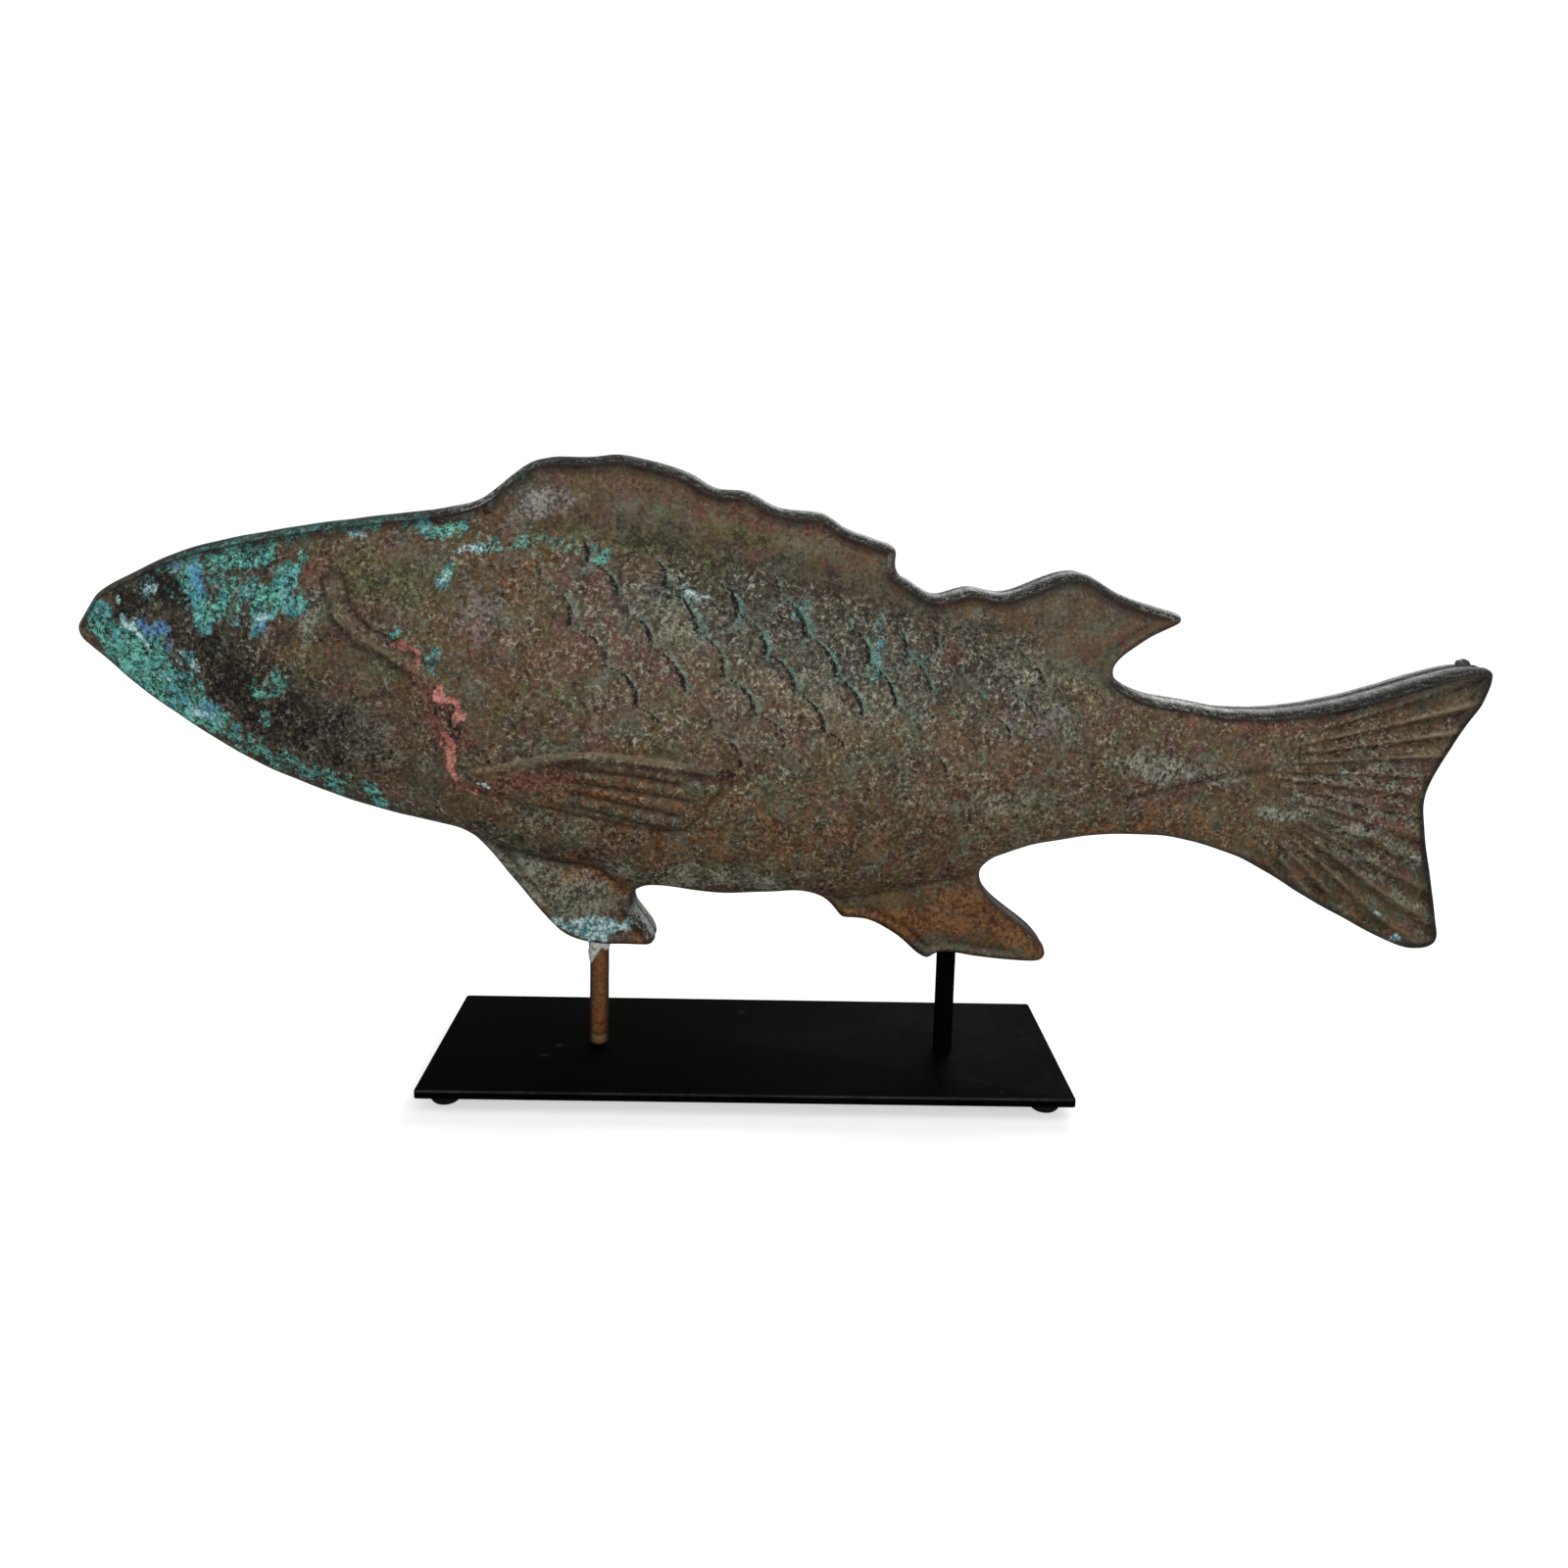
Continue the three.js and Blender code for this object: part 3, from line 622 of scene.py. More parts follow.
# %% Patches of the near side
NEAR_PATCHES = {
    "verdigris": [
        ([(-402, 270), (-385, 258), (-368, 246), (-352, 228), (-340, 220)], 14),
        ([(-400, 275), (-384, 268), (-366, 256), (-352, 240)], 10), (-368, 258, 17, 12, -40),
        (-340, 302, 48, 15, 12, 0.4), (-318, 294, 34, 20, 10, 0.44),
        ([(-342, 313), (-347, 299), (-344, 286), (-333, 274)], 5),
        ([(-335, 309), (-321, 313), (-300, 316)], 6, 0.8), (-328, 286, 9, 10, 0, 0.95),
        ([(-284, 315), (-293, 303), (-300, 294), (-308, 272)], 7), (-289, 290, 9, 7, -30, 0.9),
        ([(-356, 311), (-316, 325), (-277, 331), (-233, 334), (-196, 334)], 5, 0.75),
        ([(-196, 330), (-150, 322), (-110, 318)], 5, 0.45), (-301, 243, 12, 8, 0, 0.45),
        (-306, 223, 4, 4, 0, 0.6), ([(-349, 226), (-315, 201), (-282, 185), (-248, 174)], 8, 0.44),
        (-243, 173, 10, 5, -20, 0.9), (-229, 271, 7, 4, -30, 0.5), (-207, 257, 6, 9, 0, 0.42),
        (-186, 323, 14, 4, 0, 0.55), (-203, 309, 7, 8, 0, 0.55), (2, 292, 8, 6, 0, 0.42),
        (45, 265, 6, 14, 0, 0.42), (-62, 295, 9, 6, -30, 0.38), (72, 262, 10, 5, 0, 0.38),
    ],
    "frost_and_glints": [
        ([(-387, 280), (-380, 271), (-373, 262)], 2.8), (-362, 244, 8, 3, -50, 0.8),
        # Three small dashes here are painted highlights, glints of light: (-176, 191), (357, 110)
        # and (370, 97).
        ([(-301, 282), (-306, 275), (-312, 268)], 2, 0.85), (-176, 191, 5, 1.3),
        (357, 110, 2.5, 1.5), (370, 97, 5, 1.5, -15), (-343, 225, 6, 4, -30),
        (-346, 250, 3, 9, 10, 0.6), (-373, 295, 6, 5, 0, 0.45), (-329, 321, 4, 2),
        (-251, 326, 7, 2.5), (-185, 324, 15, 3.5, 5, 0.5), (-203, 308, 6, 9, 0, 0.55),
        ([(-140, 94), (-121, 94), (-95, 96)], 7.5, 0.7), (2, 291, 6, 4, 0, 0.45),
        (46, 262, 3, 12, 0, 0.42), (-60, 296, 7, 4, 0, 0.42),
        ([(-181, 348), (-169, 360), (-158, 371)], 2.5, 0.9),
    ],
    "blue": [
        (-368, 274, 10, 5, -20), (-355, 262, 4, 6, 20, 0.7), (-341, 226, 6, 5, 0, 0.9),
        (-356, 306, 4, 3, 0, 0.7), (-305, 272, 3, 5, 0, 0.6), (-345, 298, 3.5, 10, 0, 0.8),
    ],
    "soot": [
        (-369, 298, 17, 10, 38), (-358, 292, 12, 8, 10), (-382, 286, 9, 7, 40, 0.95),
        (-389, 251, 5, 4), ([(-413, 283), (-396, 299), (-360, 315), (-335, 322)], 5, 0.85),
        ([(-352, 275), (-335, 262), (-325, 246), (-318, 232)], 13, 0.5),
        (-306, 314, 15, 4, 10, 0.8), (-322, 243, 22, 16, 20, 0.62), (-300, 217, 30, 14, -20, 0.6),
        (-285, 232, 12, 4, -20, 0.8), (-270, 205, 40, 24, -15, 0.42),
        ([(-206, 246), (-199, 232), (-196, 214), (-197, 196)], 6, 0.3),
        ([(-258, 334), (-215, 340), (-180, 344)], 3, 0.9), (-38, 196, 5, 3, 0, 0.6),
    ],
    "chip": [
        ([(-230, 266), (-222, 262), (-216, 256), (-212, 251)], 2.2),
        ([(-200, 244), (-198, 238), (-195, 232), (-194, 227)], 2.8),
        ([(-200, 212), (-199, 203), (-198, 196), (-194, 191)], 3.8), (-184, 184, 2, 1.5),
    ],
    "blush": [
        ([(-218, 250), (-206, 236), (-199, 219), (-190, 205)], 11, 0.95),
        ([(-194, 187), (-162, 189), (-130, 193)], 8, 0.8), (-52, 196, 9, 3, 0, 0.95),
        (-40, 192, 6, 5, 0, 0.8),
        ([(-112, 362), (-66, 357), (-26, 347), (22, 338), (52, 322)], 8, 0.45),
        ([(-6, 343), (12, 338)], 3, 0.95), (28, 330, 8, 3, -10, 0.95), (88, 294, 15, 5, 5, 0.75),
        (94, 265, 10, 8, -50, 0.7), ([(228, 234), (268, 228), (310, 228)], 4, 0.9),
        (-273, 307, 8, 6, 0, 0.7), (-170, 262, 22, 14, 0, 0.4), (-150, 245, 25, 20, 0, 0.35),
        (345, 205, 50, 60, 0, 0.3), (-10, 215, 40, 16, 0, 0.35), (110, 200, 40, 20, 0, 0.35),
        (230, 186, 20, 5, 15, 0.6),
    ],
    "rust": [
        (-124, 141, 12, 4, 0, 0.85), ([(-136, 126), (-118, 126), (-100, 119)], 6, 0.95),
        ([(12, 110), (31, 104), (56, 101), (88, 104)], 6, 0.9),
        ([(70, 100), (91, 108), (122, 104), (148, 90)], 17, 0.72), (0, 153, 18, 7, 0, 0.4),
        ([(-60, 148), (-20, 146), (20, 152), (60, 150)], 12, 0.25),
        ([(284, 150), (312, 132), (340, 113), (370, 98)], 10, 0.2),
        ([(150, 158), (190, 163), (220, 166), (262, 157)], 6, 0.45),
        ([(300, 215), (345, 228), (392, 238)], 7, 0.2), (-88, 90, 8, 5, 0, 0.8),
        (-155, 300, 14, 10, 0, 0.4), (-160, 318, 30, 6, -10, 0.4),
        ([(-170, 178), (-140, 163), (-95, 155)], 8, 0.4),
        ([(-160, 187), (-110, 184), (-62, 180)], 16, 0.42), (-10, 160, 130, 26, 0, 0.34),
        (230, 170, 60, 14, 0, 0.3),
    ],
    "mist": [
        (-128, 112, 36, 16, -30, 0.72), ([(-182, 140), (-160, 118), (-146, 100)], 6, 0.7),
        (-150, 352, 24, 10, 10, 0.5), (-274, 282, 7, 16, 0, 0.75), (213, 203, 24, 11, 0, 0.9),
        (294, 171, 16, 4, -8, 0.85), (250, 196, 26, 8, 0, 0.55), (280, 236, 12, 4, -20, 0.6),
        ([(300, 195), (345, 193), (378, 190)], 3.5, 0.75),
        ([(300, 182), (330, 178), (378, 164)], 4, 0.85),
        ([(318, 168), (350, 158), (385, 141)], 4.5, 0.75),
        ([(330, 200), (350, 205), (376, 210)], 3, 0.75),
        ([(335, 150), (365, 130), (392, 106)], 5, 0.6), (2, 292, 12, 8, 0, 0.8),
        (45, 262, 7, 17, 0, 0.8), (-62, 296, 12, 8, -30, 0.8), (-140, 165, 34, 8, -10, 0.5),
        ([(-110, 134), (-60, 128), (0, 126)], 8, 0.55), (-60, 285, 60, 24, -10, 0.45),
        (30, 255, 60, 34, -20, 0.5), (120, 262, 34, 20, -20, 0.45), (130, 178, 50, 12, 5, 0.4),
        (-255, 215, 40, 20, -20, 0.35),
    ],
    "moss": [
        (-30, 333, 30, 8, -15, 0.8), (-75, 322, 40, 9, -15, 0.8), (-125, 330, 30, 9, -5, 0.6),
        (-235, 300, 36, 20, -10, 0.6), (-150, 232, 30, 14, 0, 0.5), (-20, 190, 50, 14, 0, 0.4),
        (150, 250, 20, 12, 0, 0.5),
    ],
    "lilac": [
        (-146, 352, 20, 9, 10, 0.9), (-180, 285, 16, 24, 0, 0.5), (350, 246, 26, 7, 12, 0.8),
        (140, 232, 26, 20, 0, 0.45), (-346, 250, 3, 12, 0, 0.6),
    ],
    # painted_dimming is painted shade: it darkens the colour over the back, the head and the
    # throat, and a little on the tail.
    "painted_dimming": [
        (20, 280, 130, 34, -16, 0.9), (-300, 226, 64, 34, -25, 0.95), (-345, 275, 66, 46, 10, 0.95),
        ([(-360, 222), (-310, 190), (-245, 165)], 12, 0.9), (-60, 325, 90, 10, -14, 0.6),
        (390, 240, 30, 20, 0, 0.4), ([(-250, 165), (-190, 148), (-120, 140)], 14, 0.5),
    ],
    "damp": [
        (5, 272, 90, 30, -16), (95, 248, 40, 24, -20, 0.8), (-90, 300, 60, 26, -12, 0.7),
        (-40, 250, 60, 30, -12, 0.5),
    ],
}

# %% Patches of the far side, which are fewer and broader
FAR_PATCHES = {
    "verdigris": [
        ([(-404, 272), (-372, 288), (-330, 300), (-292, 300)], 16), (-350, 248, 20, 12, 30, 0.9),
        ([(-300, 330), (-240, 336), (-170, 330), (-100, 316)], 7, 0.7),
        ([(-330, 200), (-280, 184), (-230, 172)], 8, 0.7), (-30, 300, 40, 12, -15, 0.55),
        (80, 268, 30, 12, -20, 0.5), (-120, 110, 18, 8, 0, 0.6),
    ],
    "frost_and_glints": [
        ([(-392, 278), (-366, 286), (-344, 296)], 4), (-350, 247, 12, 5, 30, 0.8),
        (-210, 322, 16, 5, 0, 0.7), ([(-140, 96), (-112, 96)], 6, 0.8),
    ],
    "blue": [
        (-360, 290, 12, 5, 25), (-344, 250, 6, 5),
    ],
    "soot": [
        (-330, 262, 30, 14, 10, 0.8), (-290, 225, 34, 20, -20, 0.6),
        ([(-412, 284), (-380, 308), (-335, 322)], 5, 0.8), ([(-206, 246), (-197, 214)], 8, 0.5),
    ],
    "chip": [
        ([(-206, 240), (-198, 226), (-197, 210)], 3.5), (-60, 197, 6, 2),
    ],
    "blush": [
        ([(-214, 248), (-198, 219), (-188, 196)], 9, 0.8),
        ([(-100, 360), (-20, 345), (50, 322)], 8, 0.6), ([(228, 232), (310, 228)], 4, 0.8),
        (60, 215, 60, 24, 0, 0.4),
    ],
    "rust": [
        (-118, 122, 20, 10, 0, 0.7), ([(40, 104), (91, 110), (140, 94)], 13, 0.7),
        ([(290, 146), (350, 106)], 12, 0.6), ([(150, 158), (262, 158)], 8, 0.7),
    ],
    "mist": [
        (213, 200, 40, 14, 0, 0.7), (340, 180, 40, 16, 0, 0.6), (20, 255, 90, 36, -15, 0.5),
        (-150, 160, 50, 14, -10, 0.5),
    ],
    "moss": [
        (-60, 328, 70, 10, -15, 0.7), (-235, 290, 36, 24, -10, 0.5),
    ],
    "lilac": [
        (350, 232, 30, 12, 12, 0.7), (-150, 260, 30, 24, 0, 0.4),
    ],
    # painted_dimming is painted shade over the back and the head.
    "painted_dimming": [
        (0, 285, 140, 34, -15, 0.8), (-310, 240, 60, 30, 0, 0.6),
    ],
    "damp": [
        (0, 275, 110, 34, -15, 0.9), (-190, 290, 50, 30, 0, 0.5),
    ],
}

# %% [markdown]
# ## Two halves as plain meshes
# Each half is the net pushed out to its height, a rim that rolls in towards the seam, and a flat
# back that the other half hides. So each is a closed solid with all its faces outward, and the
# seam lies in a small valley between them, as it does where two rolled edges meet.

# %% Build a half
RIM_ROLL = [(3.7, 0.12), (2.5, 0.4), (1.5, 1.0), (0.7, 1.8), (0.06, 2.7)]
ROOM_STEP, ROOM_LOOKED_AT = 0.3, 3.2
ROOM_USED = 0.8


def new_piece(name, mesh):
    """An object at the origin that shows a mesh."""
    piece = bpy.data.objects.new(name, mesh)
    bpy.context.scene.collection.objects.link(piece)
    return piece


def room_inside():
    """How far each rim point can move straight in before it comes nearer to another edge."""
    room = np.zeros(rim_count)
    for depth in np.arange(ROOM_STEP, ROOM_LOOKED_AT, ROOM_STEP):
        gap = from_outline(OUTLINE + depth * inward_normals(OUTLINE))[0]
        room = np.where((gap > 0.97 * depth) & (room > depth - 0.4), depth, room)
    for _ in range(4):
        room = np.minimum(room, (np.roll(room, 1) + np.roll(room, -1)) / 2)
    return room


RIM_ROOM = room_inside()


def rolled_in(inset):
    """The outline moved in by inset, or less where a fin's tip has no room for it."""
    return OUTLINE + inward_normals(OUTLINE) * np.minimum(inset, ROOM_USED * RIM_ROOM)[:, None]


def half_skin(name, side):
    """One stamped half. side is -1 for the near half and 1 for the far one."""
    loops = [rolled_in(inset) for _, inset in RIM_ROLL]
    points = [np.c_[X, side * HALF, Z]]
    for (depth, _), loop in zip(RIM_ROLL, loops):
        points.append(np.c_[loop[:, 0], np.full(rim_count, side * depth), loop[:, 1]])
    faces = [face[::-side] for face in TRIANGLES]
    starts = [0] + [len(NET) + k * rim_count for k in range(len(RIM_ROLL))]
    for outer, inner in zip(starts, starts[1:]):
        for a, b in rim_loop:
            faces.append([outer + a, inner + a, inner + b, outer + b][::-side])
    back = delaunay_2d_cdt([Vector(p) for p in loops[-1].tolist()], rim_loop, [], 1, MERGE_WITHIN)
    faces += [[starts[-1] + k for k in face][::side] for face in back[2]]
    mesh = bpy.data.meshes.new(name)
    mesh.from_pydata((np.vstack(points) * MM).tolist(), [], faces)
    mesh.shade_smooth()
    print(name, "rim points left after the roll:", len(back[0]), "of", rim_count)
    return new_piece(name, mesh)


def keep_map(piece, name, values):
    """Store one number per point of the piece, for its material or its node trees."""
    layer = piece.data.attributes.new(name, "FLOAT", "POINT")
    layer.data.foreach_set("value", np.asarray(values, np.float32))


near_half = half_skin("fish_near_half", -1)
far_half = half_skin("fish_far_half", 1)
print("points in each half:", len(near_half.data.vertices))

# %% Maps that follow from the shape
wall = len(near_half.data.vertices) - len(NET)
rolled = np.concatenate([np.arange(rim_count)] * len(RIM_ROLL))
ALL_X, ALL_Z = np.r_[X, X[rolled]], np.r_[Z, Z[rolled]]
ALL_GAP, ALL_UP = np.r_[GAP, np.zeros(wall)], np.r_[UP, UP[rolled]]
ALL_ALONG = np.r_[RIM_ALONG, RIM_ALONG[rolled]]
ALL_DEPTH = np.r_[GAP + SEAM_HALF, np.repeat([depth for depth, _ in RIM_ROLL], rim_count)]
swell = body_swell(ALL_X, ALL_Z)
from_top = read_line(PECTORAL_TOP, ALL_X) - ALL_Z
from_low = ALL_Z - read_line(PECTORAL_BOTTOM, ALL_X)
over_fin = smooth(-7, 0, from_top) * smooth(-5, 3, from_low)
over_fin = over_fin * smooth(-200, -185, ALL_X) * (1 - smooth(-40, -28, ALL_X))
rays = sum(drawn_groove(path, ALL_X, ALL_Z, GROOVE_HALF) for path in PECTORAL_GROOVES)
under_top = hill(from_top, 5.2, 3.2) * over_fin * smooth(-175, -120, ALL_X)
fin_edge = hill(from_top, 0.4, 0.9) * smooth(-192, -176, ALL_X) * (1 - smooth(-75, -45, ALL_X))
bead_gap, bead_along = near_path(GILL_BEAD, ALL_X, ALL_Z)
bead_fade = 1 - smooth(0.8, 1, bead_along)
flutes = flute_wave(ALL_X, ALL_Z)
flute_crest = np.maximum(flutes - 0.55, 0) * (0.5 + 0.6 * cloud(ALL_X, ALL_Z, 22, 9))
groove = rim_groove(ALL_X, ALL_Z, ALL_GAP, swell) * (0.2 + 0.5 * smooth(0, 0.5, ALL_UP))
creases = sum(painted_shade * mark for mark, _, painted_shade in crease_marks(ALL_X, ALL_Z))
# FOLD_SHADE is painted shade: darker in the rim groove, the creases, the fin rays, under the
# pectoral fin's top edge, beside the gill bead, in the flute hollows and on the tail's rear edges.
FOLD_SHADE = groove + creases + 0.75 * rays * over_fin + 0.65 * under_top
FOLD_SHADE = FOLD_SHADE + 0.75 * hill(bead_gap, 6, 1.6) * bead_fade + 0.55 * np.maximum(-flutes, 0)
tail_rear = smooth(365, 385, ALL_X) * (1 - smooth(5.4, 7.4, ALL_GAP)) * (ALL_UP < 0.5)
FOLD_SHADE = np.maximum(np.clip(FOLD_SHADE, 0, 1), tail_rear)
# WEAR_AND_CREST_HIGHLIGHT is paler on the pectoral fin's top edge, the gill bead and the tail's
# flute crests: partly rubbed wear, partly painted highlight.
WEAR_AND_CREST_HIGHLIGHT = np.clip(0.6 * fin_edge + 0.12 * hill(bead_gap, 0, 2.2) * bead_fade + flute_crest, 0, 1)
THIN_RIM = 1 - smooth(7, 13, near_path(THIN_EDGE, ALL_X, ALL_Z)[0])
# RIM_UP lays the grey band only on edges that face up, so it is partly grey solder and partly a
# painted highlight.
RIM_UP = (1 - smooth(3.9, 5.0, ALL_GAP)) * smooth(0.05, 0.4, ALL_UP) * (1 - THIN_RIM)
RIM_UP = RIM_UP * (0.5 + 0.5 * smooth(-240, -205, ALL_X))
# RIM_CREASE_SHADOW is a painted shadow: a dark line at the foot of the rim, on edges that face up.
RIM_CREASE_SHADOW = smooth(3.9, 4.7, ALL_GAP) * (1 - smooth(5.2, 6.9, ALL_GAP)) * smooth(0.1, 0.5, ALL_UP)
RIM_CREASE_SHADOW = RIM_CREASE_SHADOW * (1 - THIN_RIM) * (0.5 + 0.5 * smooth(130, 150, ALL_Z))
# RIM_LOW_SHADE is painted shade: a dark border along the edges that don't face up.
RIM_LOW_SHADE = (1 - smooth(1.2, 3.2, ALL_GAP)) * (1 - RIM_UP)
RIM_PALENESS = [
    (-421, 0), (-330, 0.05), (-215, 0.1), (-190, 0.7), (-155, 0.3), (-135, 0.05), (-100, 0.15),
    (0, 0.2), (60, 0.25), (80, 0.2), (96, 0.5), (120, 0.25), (190, 0.2), (205, 0.35), (225, 0.7),
    (245, 0.55), (270, 0.2), (385, 0.1), (421, 0),
]
RIM_PALE = read_line(RIM_PALENESS, ALL_X) + 0.5 * (ALL_Z < 125)
print("darkest fold:", round(float(FOLD_SHADE.max()), 2))

# %% Lattice that the scales follow
ROW_GUIDE = [
    (-200, 338), (-78, 302), (-39, 288), (1, 277), (36, 264), (69, 247), (120, 230), (240, 212),
]
ROW_PITCH = [(-200, 19), (-80, 18), (0, 17), (60, 15.5), (120, 13.5), (240, 11)]
SCALE_PITCH = [(-200, 48), (-80, 44), (0, 39), (80, 34.5), (160, 28), (240, 22)]
SCALE_LEAN = 0.0045
SCALE_START = 1.93
LATTICE_SHIFT = 40
lattice_x = np.linspace(-450, 450, 1801)
lattice_steps = np.diff(lattice_x, prepend=lattice_x[0])
steps_along = np.cumsum(lattice_steps / read_line(SCALE_PITCH, lattice_x))
steps_along = steps_along - np.interp(1, lattice_x, steps_along) + SCALE_START
below_guide = read_line(ROW_GUIDE, ALL_X) - ALL_Z
SCALE_ALONG = np.interp(ALL_X, lattice_x, steps_along) + SCALE_LEAN * below_guide + LATTICE_SHIFT
SCALE_ACROSS = LATTICE_SHIFT - below_guide / read_line(ROW_PITCH, ALL_X)
down_from_back = read_line(BODY_TOP, ALL_X) - ALL_Z
up_from_belly = ALL_Z - read_line(BODY_BOTTOM, ALL_X)
SCALED = smooth(-178, -120, ALL_X) * (1 - smooth(180, 240, ALL_X)) * smooth(0, 12, down_from_back)
SCALED = SCALED * (0.2 + 0.8 * smooth(30, 100, up_from_belly)) * smooth(2, 14, up_from_belly)
SCALED = SCALED * (1 - over_fin) * smooth(6, 14, ALL_GAP)
GRITTY = 0.35 + 0.65 * smooth(0.02, 0.2, swell) + 0.25 * smooth(290, 340, ALL_X)
print("rows of scales:", round(float(np.ptp(SCALE_ACROSS[SCALED > 0.5]))))

# %% Store the maps on both halves
SHAPE_MAPS = {
    "fold_shade": FOLD_SHADE, "worn": WEAR_AND_CREST_HIGHLIGHT, "grit": GRITTY, "rim_up": RIM_UP, "rim_low_shade": RIM_LOW_SHADE,
    "rim_crease_shadow": RIM_CREASE_SHADOW, "rim_pale": RIM_PALE, "rim_depth": ALL_DEPTH * MM,
    "rim_along": ALL_ALONG * MM, "scale_along": SCALE_ALONG, "scale_across": SCALE_ACROSS,
    "scaled": SCALED, "outer_skin": np.r_[smooth(4, 9, GAP), np.zeros(wall)],
}
for piece, patches in ((near_half, NEAR_PATCHES), (far_half, FAR_PATCHES)):
    for finish, marks in patches.items():
        keep_map(piece, finish, painted(marks, ALL_X, ALL_Z))
    for name, values in SHAPE_MAPS.items():
        keep_map(piece, name, values)
    print(piece.name, "carries", len(piece.data.attributes), "attributes")

# %% [markdown]
# ## Tools for node trees
# Node trees are easier to read as sums. A `Wire` is a value on its way through a tree, and
# adding or multiplying wires adds the Math nodes. The same tool serves the trees that move
# points and the ones that colour surfaces. A few short chains of nodes come back in many trees,
# and they follow below the tool.

# %% Wires


def feed(tree, socket, value):
    """Link a wire into a socket, or set the socket to a plain value."""
    if isinstance(value, Wire):
        tree.links.new(value.socket, socket)
    else:
        socket.default_value = value


class Wire:
    """A value on its way through a node tree. Arithmetic on it adds Math nodes."""

    def __init__(self, tree, socket):
        self.tree = tree
        self.socket = socket

    def math(self, operation, *others):
        node = self.tree.nodes.new("ShaderNodeMath")
        node.operation = operation
        for slot, value in zip(node.inputs, (self, *others)):
            feed(self.tree, slot, value)
        return Wire(self.tree, node.outputs[0])

    def __add__(self, other):
        return self.math("ADD", other)

    def __sub__(self, other):
        return self.math("SUBTRACT", other)

    def __mul__(self, other):
        return self.math("MULTIPLY", other)

    def __truediv__(self, other):
        return self.math("DIVIDE", other)

    def less_from(self, whole):
        """whole minus this value."""
        return self.math("MULTIPLY_ADD", -1, whole)

    def smooth(self, low, high, out_low=0, out_high=1):
        """A soft step from out_low to out_high as the value goes from low to high."""
        node = self.tree.nodes.new("ShaderNodeMapRange")
        node.interpolation_type = "SMOOTHSTEP"
        for slot, value in zip(node.inputs, (self, low, high, out_low, out_high)):
            feed(self.tree, slot, value)
        return Wire(self.tree, node.outputs[0])


def add_node(tree, kind, inputs=None, **settings):
    """A new node with its settings and its inputs, each a wire or a plain value."""
    node = tree.nodes.new(kind)
    for name, value in settings.items():
        setattr(node, name, value)
    for name, value in (inputs or {}).items():
        feed(tree, node.inputs[name], value)
    return node


def out(node, name=0):
    """The wire that leaves a node."""
    return Wire(node.id_data, node.outputs[name])


def put(tree, kind, inputs=None, leaves=0, **settings):
    """The wire that leaves a new node."""
    return out(add_node(tree, kind, inputs, **settings), leaves)


def new_tree(name, kind, inputs, outputs):
    """An empty tree with named sockets, and its group input and output nodes. An input that is
    given as a plain number is a number socket with that usual value."""
    tree = bpy.data.node_groups.new(name, kind)
    for label, given in inputs.items():
        socket, value = given if isinstance(given, tuple) else ("NodeSocketFloat", given)
        made = tree.interface.new_socket(label, in_out="INPUT", socket_type=socket)
        if value is not None:
            made.default_value = value
    for label, socket in outputs.items():
        tree.interface.new_socket(label, in_out="OUTPUT", socket_type=socket)
    return tree, tree.nodes.new("NodeGroupInput"), tree.nodes.new("NodeGroupOutput")


# %% Chains of nodes that several trees share


def per_metre(tree, size):
    """The noise scale that gives features of a size."""
    return put(tree, "ShaderNodeMath", {0: 1, 1: size}, operation="DIVIDE")


def noise_at(tree, place, size, detail, rough=0.5, swirl=0):
    """Noise about 0, mostly from -0.2 to 0.2, with features of a size."""
    return put(tree, "ShaderNodeTexNoise", {
        "Vector": place, "Scale": per_metre(tree, size), "Detail": detail, "Roughness": rough,
        "Distortion": swirl,
    }, leaves="Fac") - 0.5


def stored(tree, name):
    """A map that was stored on the points of a piece, as a geometry tree reads it."""
    return put(tree, "GeometryNodeInputNamedAttribute", {"Name": name})


def pushed_out(tree, start, lift):
    """The skin that comes in, with its points moved outwards by lift."""
    move = put(tree, "ShaderNodeCombineXYZ", {"Y": lift * out(start, "Outward")})
    skin = {"Geometry": out(start, "Skin"), "Offset": move}
    return put(tree, "GeometryNodeSetPosition", skin)


def hand_out(tree, start, end, shape):
    """Make the shape real, give it its finish and let it leave the tree."""
    real = put(tree, "GeometryNodeRealizeInstances", {"Geometry": shape})
    finish = {"Geometry": real, "Material": out(start, "Finish")}
    feed(tree, end.inputs[0], put(tree, "GeometryNodeSetMaterial", finish))


def grow(piece, tree, values):
    """Run a geometry tree on a piece with these named inputs, and keep the plain mesh."""
    modifier = piece.modifiers.new(tree.name, "NODES")
    modifier.node_group = tree
    sockets = {item.name: item.identifier for item in tree.interface.items_tree
               if item.item_type == "SOCKET" and item.in_out == "INPUT"}
    for name, value in values.items():
        modifier[sockets[name]] = value
    depsgraph = bpy.context.evaluated_depsgraph_get()
    grown = bpy.data.meshes.new_from_object(
        piece.evaluated_get(depsgraph), preserve_all_data_layers=True, depsgraph=depsgraph
    )
    piece.modifiers.remove(modifier)
    grown.name = piece.name
    piece.data = grown
    print(tree.name, "on", piece.name, "gives", len(grown.polygons), "faces")


GEOMETRY = ("NodeSocketGeometry", None)
MATERIAL = ("NodeSocketMaterial", None)


# %% [markdown]
# ## Scales by rule
# The scales are pressed into the sheet in rows like roof tiles, every row half a scale behind the
# next. They could be hundreds of little meshes laid over the body, but then each would need cutting
# to the curve. Here a Geometry Nodes tree moves the points of the skin instead. It reads how far
# each point is along its row and across the rows, finds the foremost scale that covers it, and
# lifts the point more the nearer it is to that scale's rear lip. It also stores where a painted
# shadow lies as a dark line behind each lip, where dirt and verdigris gather behind them, and where
# the crown of a scale is rubbed pale.

